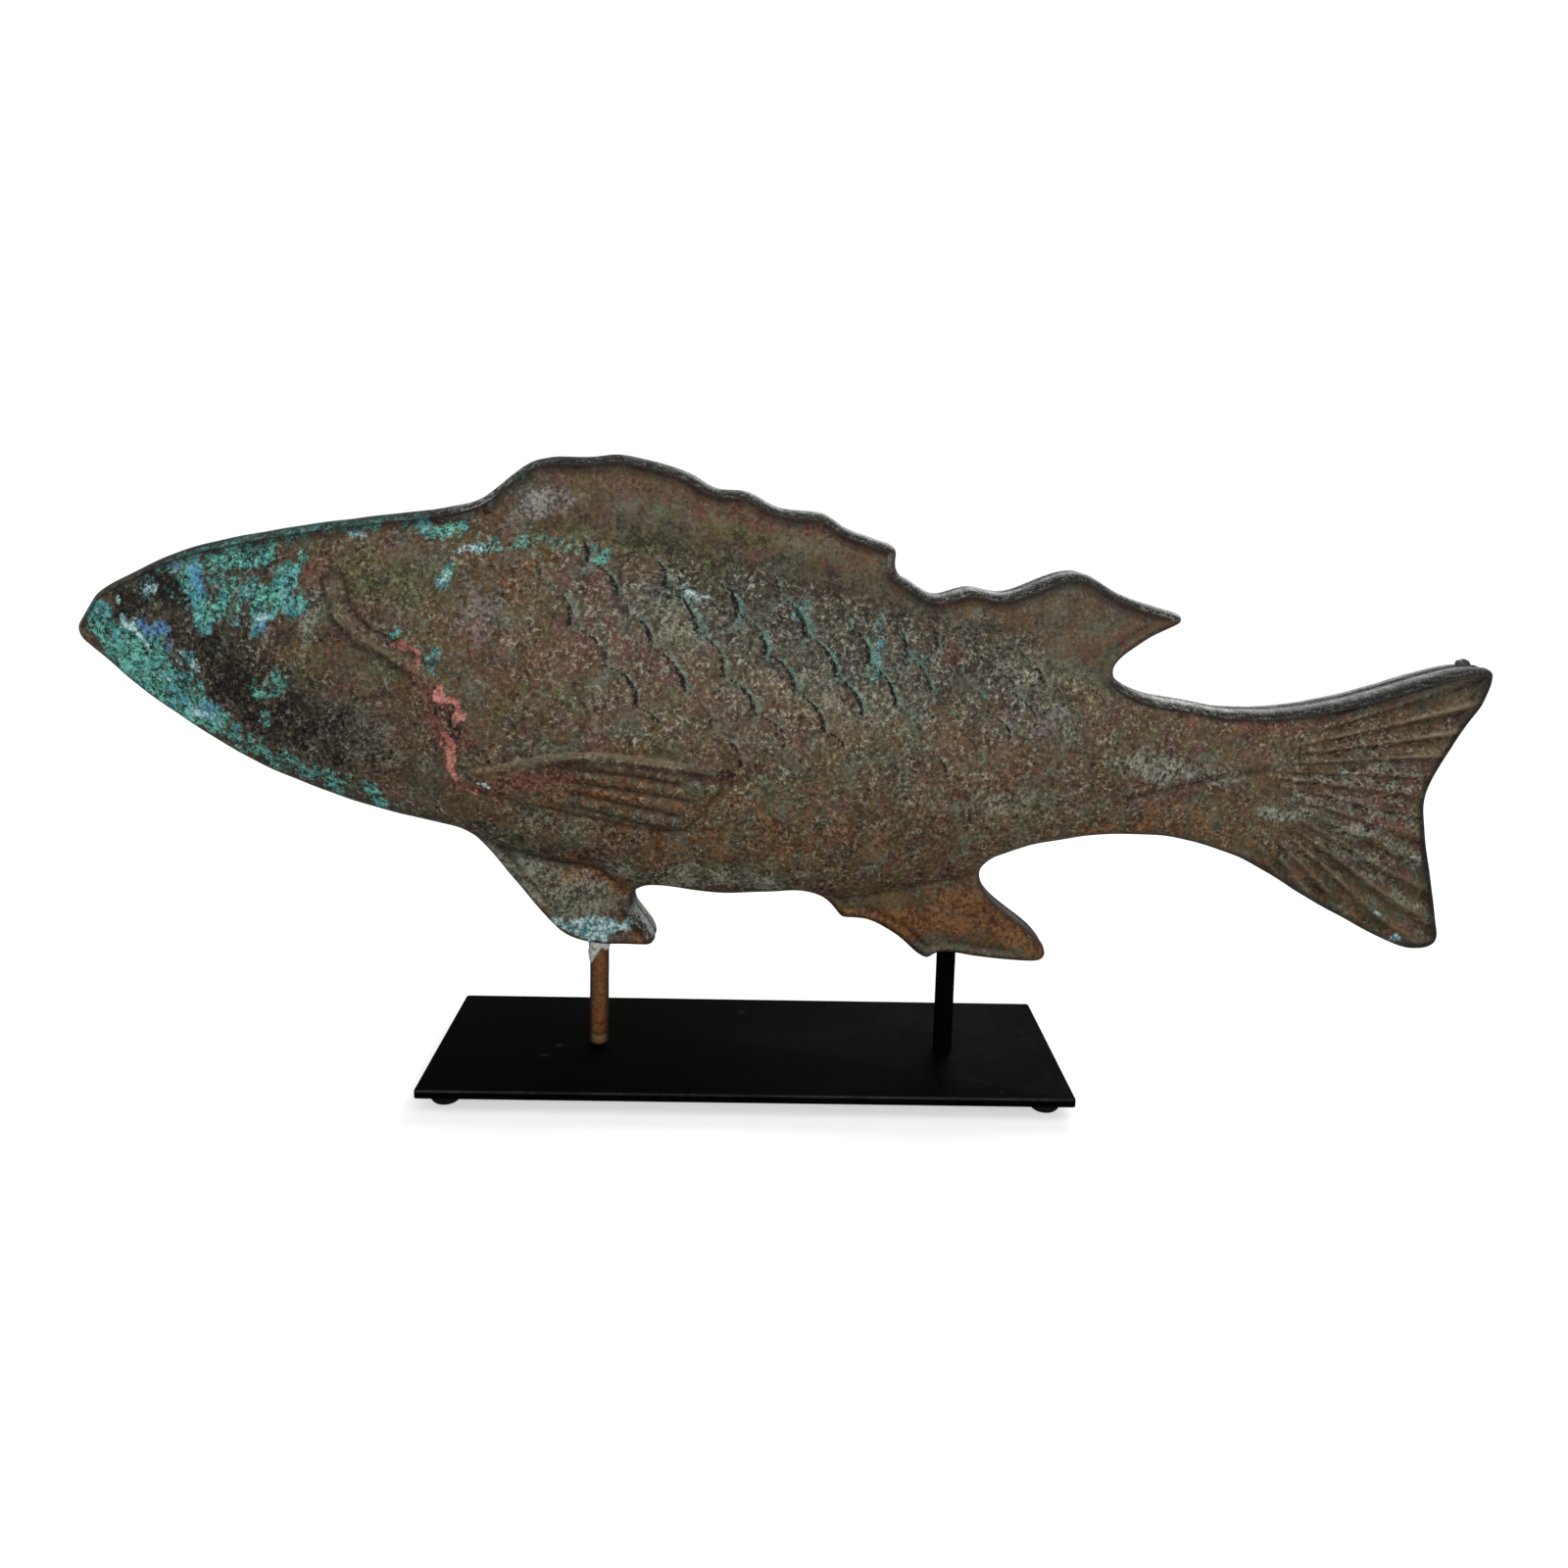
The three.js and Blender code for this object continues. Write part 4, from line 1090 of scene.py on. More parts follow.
# %% Geometry Nodes: stamp the scales


def scale_of_row(along, across, row, rear_reach):
    """For one row: how far off its line a point is, how far ahead the rear lip is, and where
    the centre of that scale lies."""
    off = across - row
    arc = ((off * off).less_from(1).math("SQRT") - 1) * rear_reach
    shift = row.math("FLOORED_MODULO", 2) * 0.5
    ahead = (shift + arc - along).math("FRACT")
    return off, ahead, along + ahead - arc


def choose(pick, if_one, if_zero):
    """if_one where pick is 1, and if_zero where it is 0."""
    return pick * (if_one - if_zero) + if_zero


def scale_tree():
    """The tree that stamps scales into a skin."""
    tree, start, end = new_tree("stamp scales", "GeometryNodeTree", {
        "Skin": GEOMETRY,
        "Outward": -1,
        "Lip Height": 1.9 * MM,
        "Lip Softness": 0.075,
        "Rear Reach": 0.55,
        "Wear Size": 0.045,
        "Wander": 0.16,
    }, {"Skin": "NodeSocketGeometry"})
    place = put(tree, "GeometryNodeInputPosition")
    wear = noise_at(tree, place, out(start, "Wear Size"), 2)
    sway = noise_at(tree, place, out(start, "Wear Size") / 1.7, 1) * out(start, "Wander")
    along = stored(tree, "scale_along") + sway
    across = stored(tree, "scale_across") + sway * 1.3
    low_row = across.math("FLOOR")
    off_a, ahead_a, centre_a = scale_of_row(along, across, low_row, out(start, "Rear Reach"))
    off_b, ahead_b, centre_b = scale_of_row(along, across, low_row + 1, out(start, "Rear Reach"))
    a_on_top = centre_a.math("LESS_THAN", centre_b)
    ahead = choose(a_on_top, ahead_a, ahead_b)
    off = choose(a_on_top, off_a, off_b)
    a_just_passed = ahead_a.math("GREATER_THAN", ahead_b)
    behind = ahead_a.math("MAXIMUM", ahead_b).less_from(1)
    off_passed = choose(a_just_passed, off_a, off_b)
    lip = off.smooth(-0.75, 0.25, 0.3, 1)
    lip_passed = off_passed.smooth(-0.75, 0.25, 0.3, 1)
    dropped = behind.smooth(0, out(start, "Lip Softness"))
    tilt = ahead.less_from(1) * lip
    raised = dropped * (tilt - lip_passed) + lip_passed
    scaled = stored(tree, "scaled")
    strength = scaled * wear.smooth(-0.14, 0.12, 0.25, 1)
    moved = pushed_out(tree, start, (raised - 0.5) * strength * out(start, "Lip Height"))
    maps = {
        # scale_shadow is a painted shadow behind each lip, strongest on its upper half.
        "scale_shadow": behind.smooth(0.04, 0.11, 1, 0) * strength
        * off_passed.smooth(-0.45, 0.2, 0.1, 1),
        "scale_trough": behind.smooth(0.03, 0.06) * behind.smooth(0.07, 0.24, 1, 0) * strength
        * off_passed.smooth(-0.6, 0.2, 0.25, 1),
        "scale_crown": ahead.smooth(0.02, 0.22) * ahead.smooth(0.4, 0.75, 1, 0)
        * off.math("ABSOLUTE").smooth(0.2, 0.75, 1, 0) * scaled,
    }
    for name, value in maps.items():
        moved = put(tree, "GeometryNodeStoreNamedAttribute",
                    {"Geometry": moved, "Name": name, "Value": value})
    real = put(tree, "GeometryNodeRealizeInstances", {"Geometry": moved})
    feed(tree, end.inputs["Skin"], real)
    return tree


# %% [markdown]
# ## Corrosion you can feel
# Verdigris is a crust that stands proud of the metal, and the bare skin between is finely
# pitted. A second tree moves the points by noise: coarse lumps only where the verdigris map
# says so, and a fine orange-peel everywhere on the face.

# %% Geometry Nodes: roughen the skin


def weather_tree():
    """The tree that raises the crust and pits the skin."""
    tree, start, end = new_tree("weather the skin", "GeometryNodeTree", {
        "Skin": GEOMETRY,
        "Outward": -1,
        "Crust Height": 0.5 * MM,
        "Crust Size": 0.006,
        "Peel Height": 0.12 * MM,
        "Peel Size": 0.0035,
        "Finish": MATERIAL,
    }, {"Skin": "NodeSocketGeometry"})
    place = put(tree, "GeometryNodeInputPosition")
    crust = noise_at(tree, place, out(start, "Crust Size"), 3) * stored(tree, "verdigris")
    peel = noise_at(tree, place, out(start, "Peel Size"), 1)
    crust = crust * out(start, "Crust Height") * 2
    peel = peel * out(start, "Peel Height") * 2
    moved = pushed_out(tree, start, (crust + peel) * stored(tree, "outer_skin"))
    hand_out(tree, start, end, moved)
    return tree


# %% Grow the relief on both halves
SCALES = scale_tree()
WEATHER = weather_tree()
AGED_COPPER = bpy.data.materials.new("aged copper")
for piece, outward in ((near_half, -1), (far_half, 1)):
    grow(piece, SCALES, {"Outward": outward})
    grow(piece, WEATHER, {"Outward": outward, "Finish": AGED_COPPER})

# %% [markdown]
# ## The soldered seam
# Solder is run along the joint between the halves, and it sets as a bead that swells and thins.
# It follows a path, so it is a Geometry Nodes tree again: the closed line of the seam becomes a
# curve, a small circle is swept along it, and noise sets how thick the circle is from place to
# place. The line lies far enough in that the bead never stands outside the outline.

# %% Geometry Nodes: run the solder
SEAM_INSET = 2.0
SEAM_SPACING = 2.2


def solder_tree():
    """The tree that turns a closed line into a bead of solder."""
    tree, start, end = new_tree("run solder along the seam", "GeometryNodeTree", {
        "Line": GEOMETRY,
        "Bead Radius": 1.5 * MM,
        "Unevenness": 0.8 * MM,
        "Lump Size": 0.008,
        "Spacing": SEAM_SPACING * MM,
        "Sides": ("NodeSocketInt", 8),
        "Finish": MATERIAL,
    }, {"Bead": "NodeSocketGeometry"})
    path = put(tree, "GeometryNodeMeshToCurve", {"Mesh": out(start, "Line")})
    path = put(tree, "GeometryNodeResampleCurve",
               {"Curve": path, "Length": out(start, "Spacing")}, mode="LENGTH")
    circle = put(tree, "GeometryNodeCurvePrimitiveCircle",
                 {"Resolution": out(start, "Sides"), "Radius": 1})
    place = put(tree, "GeometryNodeInputPosition")
    lumps = noise_at(tree, place, out(start, "Lump Size"), 2)
    radius = lumps * out(start, "Unevenness") + out(start, "Bead Radius")
    bead = put(tree, "GeometryNodeCurveToMesh",
               {"Curve": path, "Profile Curve": circle, "Scale": radius})
    bead = put(tree, "GeometryNodeSetShadeSmooth", {"Geometry": bead})
    hand_out(tree, start, end, bead)
    return tree


SOLDER = bpy.data.materials.new("old solder")
BRIGHT_SOLDER = bpy.data.materials.new("bright solder")
seam_line = bpy.data.meshes.new("fish_seam")
seam_places = rolled_in(SEAM_INSET)
seam_line.from_pydata(
    (np.c_[seam_places[:, 0], np.zeros(rim_count), seam_places[:, 1]] * MM).tolist(), rim_loop, []
)
seam = new_piece("fish_seam", seam_line)
grow(seam, solder_tree(), {"Finish": SOLDER})

# %% [markdown]
# ## The stand
# The plate, the posts and the feet are plain shapes, so what makes them real is their edges: a
# cut plate has a small bevel all round, a rod is never quite round, a rubber foot is a dome. Each
# is a stack of rings, from the lowest to the highest, closed by a flat face at both ends. Their
# places and sizes are read from the CAD boxes.

# %% Stack rings into solids


def stacked(name, rings, material):
    """A closed solid through rings of equal count, listed from the bottom up."""
    count = len(rings[0])
    points = [tuple(p) for ring in rings for p in ring]
    faces = [list(range(count))[::-1]]
    for k in range(len(rings) - 1):
        low, high = k * count, (k + 1) * count
        for i in range(count):
            j = (i + 1) % count
            faces.append([low + i, low + j, high + j, high + i])
    faces.append([(len(rings) - 1) * count + i for i in range(count)])
    mesh = bpy.data.meshes.new(name)
    mesh.from_pydata(points, [], faces)
    mesh.shade_smooth()
    mesh.materials.append(material)
    print(name, "has", len(faces), "faces")
    return new_piece(name, mesh)


def ring(centre, radius, height, sides=48):
    """Points round an upright axis. All lengths are in metres."""
    turn = np.arange(sides) * 2 * math.pi / sides
    x, y = centre[0] + radius * np.cos(turn), centre[1] + radius * np.sin(turn)
    return np.c_[x, y, np.full(sides, height)]


def measured(node):
    """The middle and the size of a node's box, and the heights of its foot and its top."""
    low, high = (Vector(corner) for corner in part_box(node))
    return (low + high) / 2, high - low, low.z, high.z


# %% Posts
POST_SLACK = 0.12 * MM
POST_STEP = 1.6 * MM
BLACK_PAINT = bpy.data.materials.new("black satin paint")
POST_COPPER = bpy.data.materials.new("brown copper rod")


def post(name, node, unevenness, material):
    """A rod between the plate and the fish, a little uneven in thickness."""
    middle, size, low, high = measured(node)
    heights = np.linspace(low, high, int(size.z / POST_STEP))
    bumps = cloud(heights / MM, np.full(len(heights), middle.x / MM), 7, 21)
    radii = size.x / 2 - POST_SLACK - unevenness * (0.5 + 0.5 * bumps)
    rings = [ring(middle, radius, height) for radius, height in zip(radii, heights)]
    return stacked(name, rings, material)


front_rod = post("front_copper_rod", "front_post", 0.3 * MM, POST_COPPER)
rear_rod = post("rear_black_rod", "rear_post", 0.05 * MM, BLACK_PAINT)

# %% Plate
PLATE_CORNER = 1.8 * MM
PLATE_BEVEL = 0.7 * MM
LEAST_CORNER = 0.3 * MM
CORNER_STEPS = 6
BEVEL_STEPS = 4


def rounded_rectangle(middle, size, inset, height):
    """One ring of the plate's edge."""
    radius = max(PLATE_CORNER - inset, LEAST_CORNER)
    points = []
    for quarter, (sx, sy) in enumerate(((1, 1), (-1, 1), (-1, -1), (1, -1))):
        corner_x = middle.x + sx * (size.x / 2 - inset - radius)
        corner_y = middle.y + sy * (size.y / 2 - inset - radius)
        for k in range(CORNER_STEPS + 1):
            turn = (quarter + k / CORNER_STEPS) * math.pi / 2
            x, y = corner_x + radius * math.cos(turn), corner_y + radius * math.sin(turn)
            points.append((x, y, height))
    return points


def bevel_steps():
    """How far in and how far down each ring of a rounded edge lies, from its face outwards."""
    turns = [k * math.pi / 2 / BEVEL_STEPS for k in range(BEVEL_STEPS + 1)]
    return [(PLATE_BEVEL * (1 - math.sin(t)), PLATE_BEVEL * (1 - math.cos(t))) for t in turns]


plate_middle, plate_size, plate_low, plate_high = measured("base_plate")
edge = [(inset, plate_low + down) for inset, down in bevel_steps()]
edge += [(inset, plate_high - down) for inset, down in bevel_steps()[::-1]]
plate_rings = [rounded_rectangle(plate_middle, plate_size, inset, height) for inset, height in edge]
plate = stacked("steel_plate", plate_rings, BLACK_PAINT)

# %% Feet
RUBBER = bpy.data.materials.new("black rubber")
SOLE_SHARE = 0.6
DOME_STEPS = 10
FOOT_SIDES = 32


def foot(node):
    """A domed rubber foot with a flat sole."""
    middle, size, low, high = measured(node)
    sole = SOLE_SHARE * size.x / 2
    rings = [ring(middle, sole, low, FOOT_SIDES)]
    for k in range(1, DOME_STEPS + 1):
        turn = k / DOME_STEPS * math.pi / 2
        radius = sole + (size.x / 2 - sole) * math.sin(turn)
        height = low + (high - low) * (1 - math.cos(turn))
        rings.append(ring(middle, radius, height, FOOT_SIDES))
    return stacked(node.replace("foot", "rubber_foot"), rings, RUBBER)


FEET = [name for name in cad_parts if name.startswith("foot")]
feet = {node: foot(node) for node in FEET}

# %% [markdown]
# ## Lumps of solder
# The maker left two lumps of solder: a short run where the front rod meets the fin, and a nub on
# the tip of the tail. The run is a sleeve a little wider than the rod. Below its ragged lower
# edge it narrows to less than the rod, so the rod hides it there and no edge has to be cut.

# %% Solder at the front rod and on the tail
RUN_LOW, RUN_HIGH = 62, 90
RUN_SIDES = 64
RUN_STEP = 0.7
RUN_EDGE = 78.0
RUN_HIDDEN, RUN_PROUD, RUN_BUMPS = 1.1, 2.0, 0.35
RUN_DRIPS = [(215, 13, 0.6), (262, 5, 0.5), (325, 5, 0.5), (60, 8, 0.6)]
NUB_MIDDLE = (409.5, 5.5, 261.5)
NUB_SIZE = (4.5, 4.5, 4.2)
NUB_BUMPS = 0.16


def drip_line(turn):
    """The height down to which solder covers the rod, in mm, in each direction round it."""
    line = np.full(len(turn), RUN_EDGE)
    for at, length, wide in RUN_DRIPS:
        away = (turn - math.radians(at) + math.pi) % (2 * math.pi) - math.pi
        line = line - length * hill(away, 0, wide)
    return line


def solder_run():
    """The sleeve of solder round the top of the front rod, in mm until each ring is made."""
    middle, size, *_ = measured("front_post")
    turn = np.arange(RUN_SIDES) * 2 * math.pi / RUN_SIDES
    hidden = size.x / MM / 2 - RUN_HIDDEN
    rings = []
    for height in np.arange(RUN_LOW, RUN_HIGH, RUN_STEP):
        covered = smooth(-0.5, 2.5, height - drip_line(turn))
        bumps = RUN_BUMPS * cloud(4 * turn, np.full(RUN_SIDES, height), 2.2, 31)
        radius = (hidden + (RUN_PROUD + bumps) * covered) * MM
        rings.append(ring(middle, radius, height * MM, RUN_SIDES))
    return stacked("front_solder_run", rings, BRIGHT_SOLDER)


def lump(name, middle, half_sizes, seed):
    """A small uneven ball of solder."""
    ball = bmesh.new()
    bmesh.ops.create_icosphere(ball, subdivisions=4, radius=1)
    for v in ball.verts:
        x, y, z = v.co
        swell = 1 + NUB_BUMPS * cloud(np.array([3 * x + y]), np.array([3 * z - y]), 1.1, seed)[0]
        v.co = [(m + swell * h * c) * MM for m, h, c in zip(middle, half_sizes, (x, y, z))]
    mesh = bpy.data.meshes.new(name)
    ball.to_mesh(mesh)
    ball.free()
    mesh.shade_smooth()
    mesh.materials.append(SOLDER)
    print(name, "has", len(mesh.polygons), "faces")
    return new_piece(name, mesh)


run = solder_run()
nub = lump("tail_solder_nub", NUB_MIDDLE, NUB_SIZE, 33)

# %% [markdown]
# ## Effects that several finishes share
# Six effects come back in the finishes here, so each is one shader group that is built once.
# The ragged edge turns a soft patch into grains, as crusts spread. The flecks and the speckle
# are small light and dark marks, the first irregular and the second round. The veins are thin
# lines. The mottle drifts between two tones at a coarse and a fine size, and it can swirl. The
# grain gives the surface fine pits as a bumped normal. The groups put out only masks, values
# and normals.

# %% Shader groups
VECTOR = ("NodeSocketVector", None)


def ragged_group():
    """A soft cover becomes a mask with a broken, grainy edge."""
    tree, start, end = new_tree("ragged edge", "ShaderNodeTree", {
        "Place": VECTOR, "Cover": 0, "Grain": 0.006, "Raggedness": 2.4,
        "Edge": 0.16,
    }, {"Mask": "NodeSocketFloat"})
    place = out(start, "Place")
    coarse = noise_at(tree, place, out(start, "Grain"), 4, 0.7, 0.6)
    fine = noise_at(tree, place, out(start, "Grain") * 0.3, 2, 0.6)
    level = out(start, "Cover") + (coarse + fine * 0.7) * out(start, "Raggedness")
    high = out(start, "Edge") + 0.5
    low = out(start, "Edge").less_from(0.5)
    near = out(start, "Cover").smooth(0.03, 0.25)
    feed(tree, end.inputs["Mask"], level.smooth(low, high) * near)
    return tree


def flecks_group():
    """Light and dark flecks of oxide, close together."""
    tree, start, end = new_tree("flecks", "ShaderNodeTree", {
        "Place": VECTOR, "Size": 0.0026,
    }, {"Light": "NodeSocketFloat", "Dark": "NodeSocketFloat"})
    noise = noise_at(tree, out(start, "Place"), out(start, "Size"), 3, 0.75, 0.4)
    feed(tree, end.inputs["Light"], noise.smooth(0.01, 0.2))
    feed(tree, end.inputs["Dark"], noise.smooth(-0.2, -0.01, 1, 0))
    return tree


def veins_group():
    """Thin wandering lines, as where crusts meet."""
    tree, start, end = new_tree("veins", "ShaderNodeTree", {
        "Place": VECTOR, "Size": 0.012, "Width": 0.03,
    }, {"Mask": "NodeSocketFloat"})
    noise = noise_at(tree, out(start, "Place"), out(start, "Size"), 3, 0.55, 1.2)
    line = noise.math("ABSOLUTE").smooth(0, out(start, "Width"), 1, 0)
    feed(tree, end.inputs["Mask"], line)
    return tree


def speckle_group():
    """Scattered round dots."""
    tree, start, end = new_tree("speckle", "ShaderNodeTree", {
        "Place": VECTOR, "Size": 0.002, "Share": 0.3,
    }, {"Mask": "NodeSocketFloat"})
    cells = add_node(tree, "ShaderNodeTexVoronoi", {
        "Vector": out(start, "Place"), "Scale": per_metre(tree, out(start, "Size")),
    })
    dice = put(tree, "ShaderNodeSeparateColor", {"Color": out(cells, "Color")})
    chosen = dice.math("LESS_THAN", out(start, "Share"))
    dot = out(cells, "Distance").smooth(0.18, 0.52, 1, 0)
    feed(tree, end.inputs["Mask"], dot * chosen)
    return tree


def mottle_group():
    """A drift between two tones, from 0 to 1, in coarse and fine patches."""
    tree, start, end = new_tree("mottle", "ShaderNodeTree", {
        "Place": VECTOR, "Coarse": 0.03, "Fine": 0.003, "Fine Share": 0.5,
        "Swirl": 0,
    }, {"Tone": "NodeSocketFloat"})
    place = out(start, "Place")
    coarse = noise_at(tree, place, out(start, "Coarse"), 4, 0.65, out(start, "Swirl"))
    fine = noise_at(tree, place, out(start, "Fine"), 3, 0.7)
    tone = coarse * out(start, "Fine Share").less_from(1) + fine * out(start, "Fine Share")
    feed(tree, end.inputs["Tone"], tone.smooth(-0.24, 0.24))
    return tree


def grain_group():
    """The normal of a finely pitted surface."""
    tree, start, end = new_tree("pitted grain", "ShaderNodeTree", {
        "Place": VECTOR, "Size": 0.002, "Depth": 0.0004, "Strength": 0.6,
    }, {"Normal": "NodeSocketVector"})
    place = out(start, "Place")
    grains = noise_at(tree, place, out(start, "Size"), 3, 0.65)
    swells = noise_at(tree, place, out(start, "Size") * 4, 2)
    height = (grains + swells * 1.6) * out(start, "Depth")
    bump = add_node(tree, "ShaderNodeBump", {
        "Strength": out(start, "Strength"), "Distance": 1, "Height": height,
    })
    feed(tree, end.inputs["Normal"], out(bump, "Normal"))
    return tree


RAGGED, FLECKS, VEINS = ragged_group(), flecks_group(), veins_group()
SPECKLE, MOTTLE, GRAIN = speckle_group(), mottle_group(), grain_group()
print("shader groups:", [group.name for group in (RAGGED, FLECKS, VEINS, SPECKLE, MOTTLE, GRAIN)])

# %% Placing groups and laying colours
MIX_COVER, MIX_UNDER, MIX_OVER, MIX_RESULT = 0, 6, 7, 2


def linear(value):
    """A colour as seen on a screen, three numbers up to 255, in the linear light that shaders
    use. Anything else stays as it is."""
    if not isinstance(value, tuple) or len(value) != 3:
        return value
    shares = [part / 255 for part in value]
    return (*(c / 12.92 if c <= 0.04045 else ((c + 0.055) / 1.055) ** 2.4 for c in shares), 1)


def fill(tree, node, **inputs):
    """Feed a node's inputs by their names, with _ for a space."""
    for name, value in inputs.items():
        feed(tree, node.inputs[name.replace("_", " ").title()], value)
    return node


def place_group(tree, group, place, **inputs):
    """One of the groups in a material, with its values."""
    node = add_node(tree, "ShaderNodeGroup", node_tree=group)
    return fill(tree, node, place=place, **inputs)


def use(tree, group, place, **inputs):
    """A group placed as above, and the first wire that leaves it."""
    return out(place_group(tree, group, place, **inputs))


def elsewhere(tree, place, seed):
    """The same place moved far off, so that a pattern read there looks unlike its neighbours."""
    step = (0.731 * seed, 0.427 * seed, 0.913 * seed)
    return put(tree, "ShaderNodeVectorMath", {0: place, 1: step})


def lay(tree, under, over, cover):
    """One colour or wire of colours laid over another where cover is 1."""
    node = add_node(tree, "ShaderNodeMix", data_type="RGBA")
    feed(tree, node.inputs[MIX_COVER], cover)
    feed(tree, node.inputs[MIX_UNDER], linear(under))
    feed(tree, node.inputs[MIX_OVER], linear(over))
    return Wire(tree, node.outputs[MIX_RESULT])


def laid(tree, colour, *layers):
    """Several colours laid one over another, each written as the colour and its cover."""
    for over, cover in layers:
        colour = lay(tree, colour, over, cover)
    return colour


def begin(material, metallic, roughness, specular=0.5):
    """Clear a material's nodes and give it a Principled BSDF. Returns tree, shader and place."""
    material.use_nodes = True
    tree = material.node_tree
    tree.nodes.clear()
    shader = add_node(tree, "ShaderNodeBsdfPrincipled", {
        "Metallic": metallic, "Roughness": roughness, "Specular IOR Level": specular,
    })
    end = tree.nodes.new("ShaderNodeOutputMaterial")
    tree.links.new(shader.outputs["BSDF"], end.inputs["Surface"])
    return tree, shader, put(tree, "ShaderNodeTexCoord", leaves="Object")


def drawn_map(tree, name):
    """A map that was stored on the points of a piece."""
    return put(tree, "ShaderNodeAttribute", attribute_name=name, leaves="Fac")


# %% [markdown]
# ## Aged copper
# The skin is brown oxide under everything else. Stains of olive, maroon, grey-green and ochre drift
# all over it. Then come the drawn patches: thin stains and a painted shade first, crusts over them
# and bare chips. After these come a painted shadow behind the lips of the scales, and painted
# highlights with the wear on the crests. At last come the edge bands: grey solder with a painted
# highlight on the edges that face up, and painted shade in the folds and along the other edges. So
# the material is a list of layers laid one over another in that order. Each has a dark and a light
# tone that a mottle mixes, the size of its grains, how much of it shows and how soft its edge is.
# Crusts are rough and don't shine like metal. Colours are written as red, green and blue up to 255.

# %% The layers of the skin
BROWN_DARK, BROWN_MID, BROWN_LIGHT = (38, 30, 24), (84, 72, 58), (123, 111, 93)
PALE_FLECK, DARK_FLECK = (182, 180, 160), (12, 10, 8)
STAINS = [
    ((44, 44, 20), (102, 96, 54), 0.034, 0.38),
    ((58, 30, 28), (118, 76, 68), 0.026, 0.38),
    ((38, 45, 38), (114, 120, 102), 0.020, 0.34),
    ((62, 42, 20), (112, 88, 56), 0.030, 0.36),
]
LAYERS = {
    "moss": ((42, 48, 22), (100, 102, 58), 0.012, 0.65, 0.35),
    "lilac": ((64, 54, 58), (142, 130, 136), 0.010, 0.6, 0.35),
    "rust": ((72, 42, 18), (136, 88, 46), 0.014, 0.8, 0.4),
    "mist": ((52, 56, 49), (160, 166, 150), 0.0036, 0.65, 0.35),
    # painted_dimming: painted shade, darker tones laid over the back, the head and the throat.
    "painted_dimming": ((18, 19, 17), (68, 65, 56), 0.014, 0.7, 0.4),
    "blush": ((66, 32, 28), (122, 76, 64), 0.008, 0.75, 0.3),
    "soot": ((5, 5, 5), (42, 34, 30), 0.006, 0.95, 0.2),
    "verdigris": ((10, 32, 31), (78, 164, 148), 0.009, 0.95, 0.3),
    "blue": ((34, 76, 120), (104, 164, 204), 0.005, 0.75, 0.3),
    # frost_and_glints: pale crust, with a few painted highlights among it.
    "frost_and_glints": ((60, 128, 132), (208, 234, 236), 0.005, 0.85, 0.3),
    "chip": ((150, 86, 78), (196, 138, 126), 0.004, 1.0, 0.12),
}
CRUSTS = ("verdigris", "frost_and_glints", "blue", "chip")


def stained(tree, colour, place, tone):
    """The stains that drift all over the skin."""
    for seed, (dark, light, size, share) in enumerate(STAINS, 1):
        there = elsewhere(tree, place, seed)
        cover = noise_at(tree, there, size, 3, 0.6, 0.8) * 2.6 + share
        mask = use(tree, RAGGED, there, cover=cover, grain=0.005, raggedness=1.6, edge=0.3)
        colour = lay(tree, colour, lay(tree, dark, light, tone), mask * 0.75)
    return colour


def crusted(tree, place, swirl, flecks):
    """Verdigris: swirls that drift from green to blue, with fine veins and flecks."""
    dark, light = LAYERS["verdigris"][:2]
    colour = lay(tree, dark, light, swirl.smooth(0.2, 0.76))
    drift = noise_at(tree, elsewhere(tree, place, 5), 0.016, 2).smooth(-0.05, 0.13)
    bright = use(tree, VEINS, place, size=0.007, width=0.05)
    black = use(tree, VEINS, elsewhere(tree, place, 3), size=0.011, width=0.05)
    return laid(
        tree, colour,
        ((78, 158, 190), drift * swirl.smooth(0.35, 0.7) * 0.55),
        ((134, 220, 202), bright * drift.smooth(0, 1, 1, 0.3) * 0.8),
        ((8, 18, 18), black * 0.75),
        ((180, 228, 216), out(flecks, "Light") * 0.45),
        ((10, 24, 24), out(flecks, "Dark") * 0.8),
    )


def patched(tree, colour, place, tone, flecks):
    """The drawn patches, a mask of the crusts among them, and one of all that hides the grit."""
    crust = bare = None
    crisp = tone.smooth(0.28, 0.74)
    swirl = use(tree, MOTTLE, place, coarse=0.014, fine=0.003, fine_share=0.4, swirl=2.5)
    for seed, (finish, (dark, light, grain, cover, edge)) in enumerate(LAYERS.items(), 11):
        there = elsewhere(tree, place, seed)
        drawn = drawn_map(tree, finish)
        mask = use(tree, RAGGED, there, cover=drawn, grain=grain, edge=edge) * cover
        shades = lay(tree, dark, light, crisp)
        if finish == "verdigris":
            shades = crusted(tree, there, swirl, flecks)
        colour = lay(tree, colour, shades, mask)
        if finish in CRUSTS:
            crust = crust.math("MAXIMUM", mask) if crust else mask
        if finish == "soot":
            bare = mask
    return colour, crust, crust.math("MAXIMUM", bare)


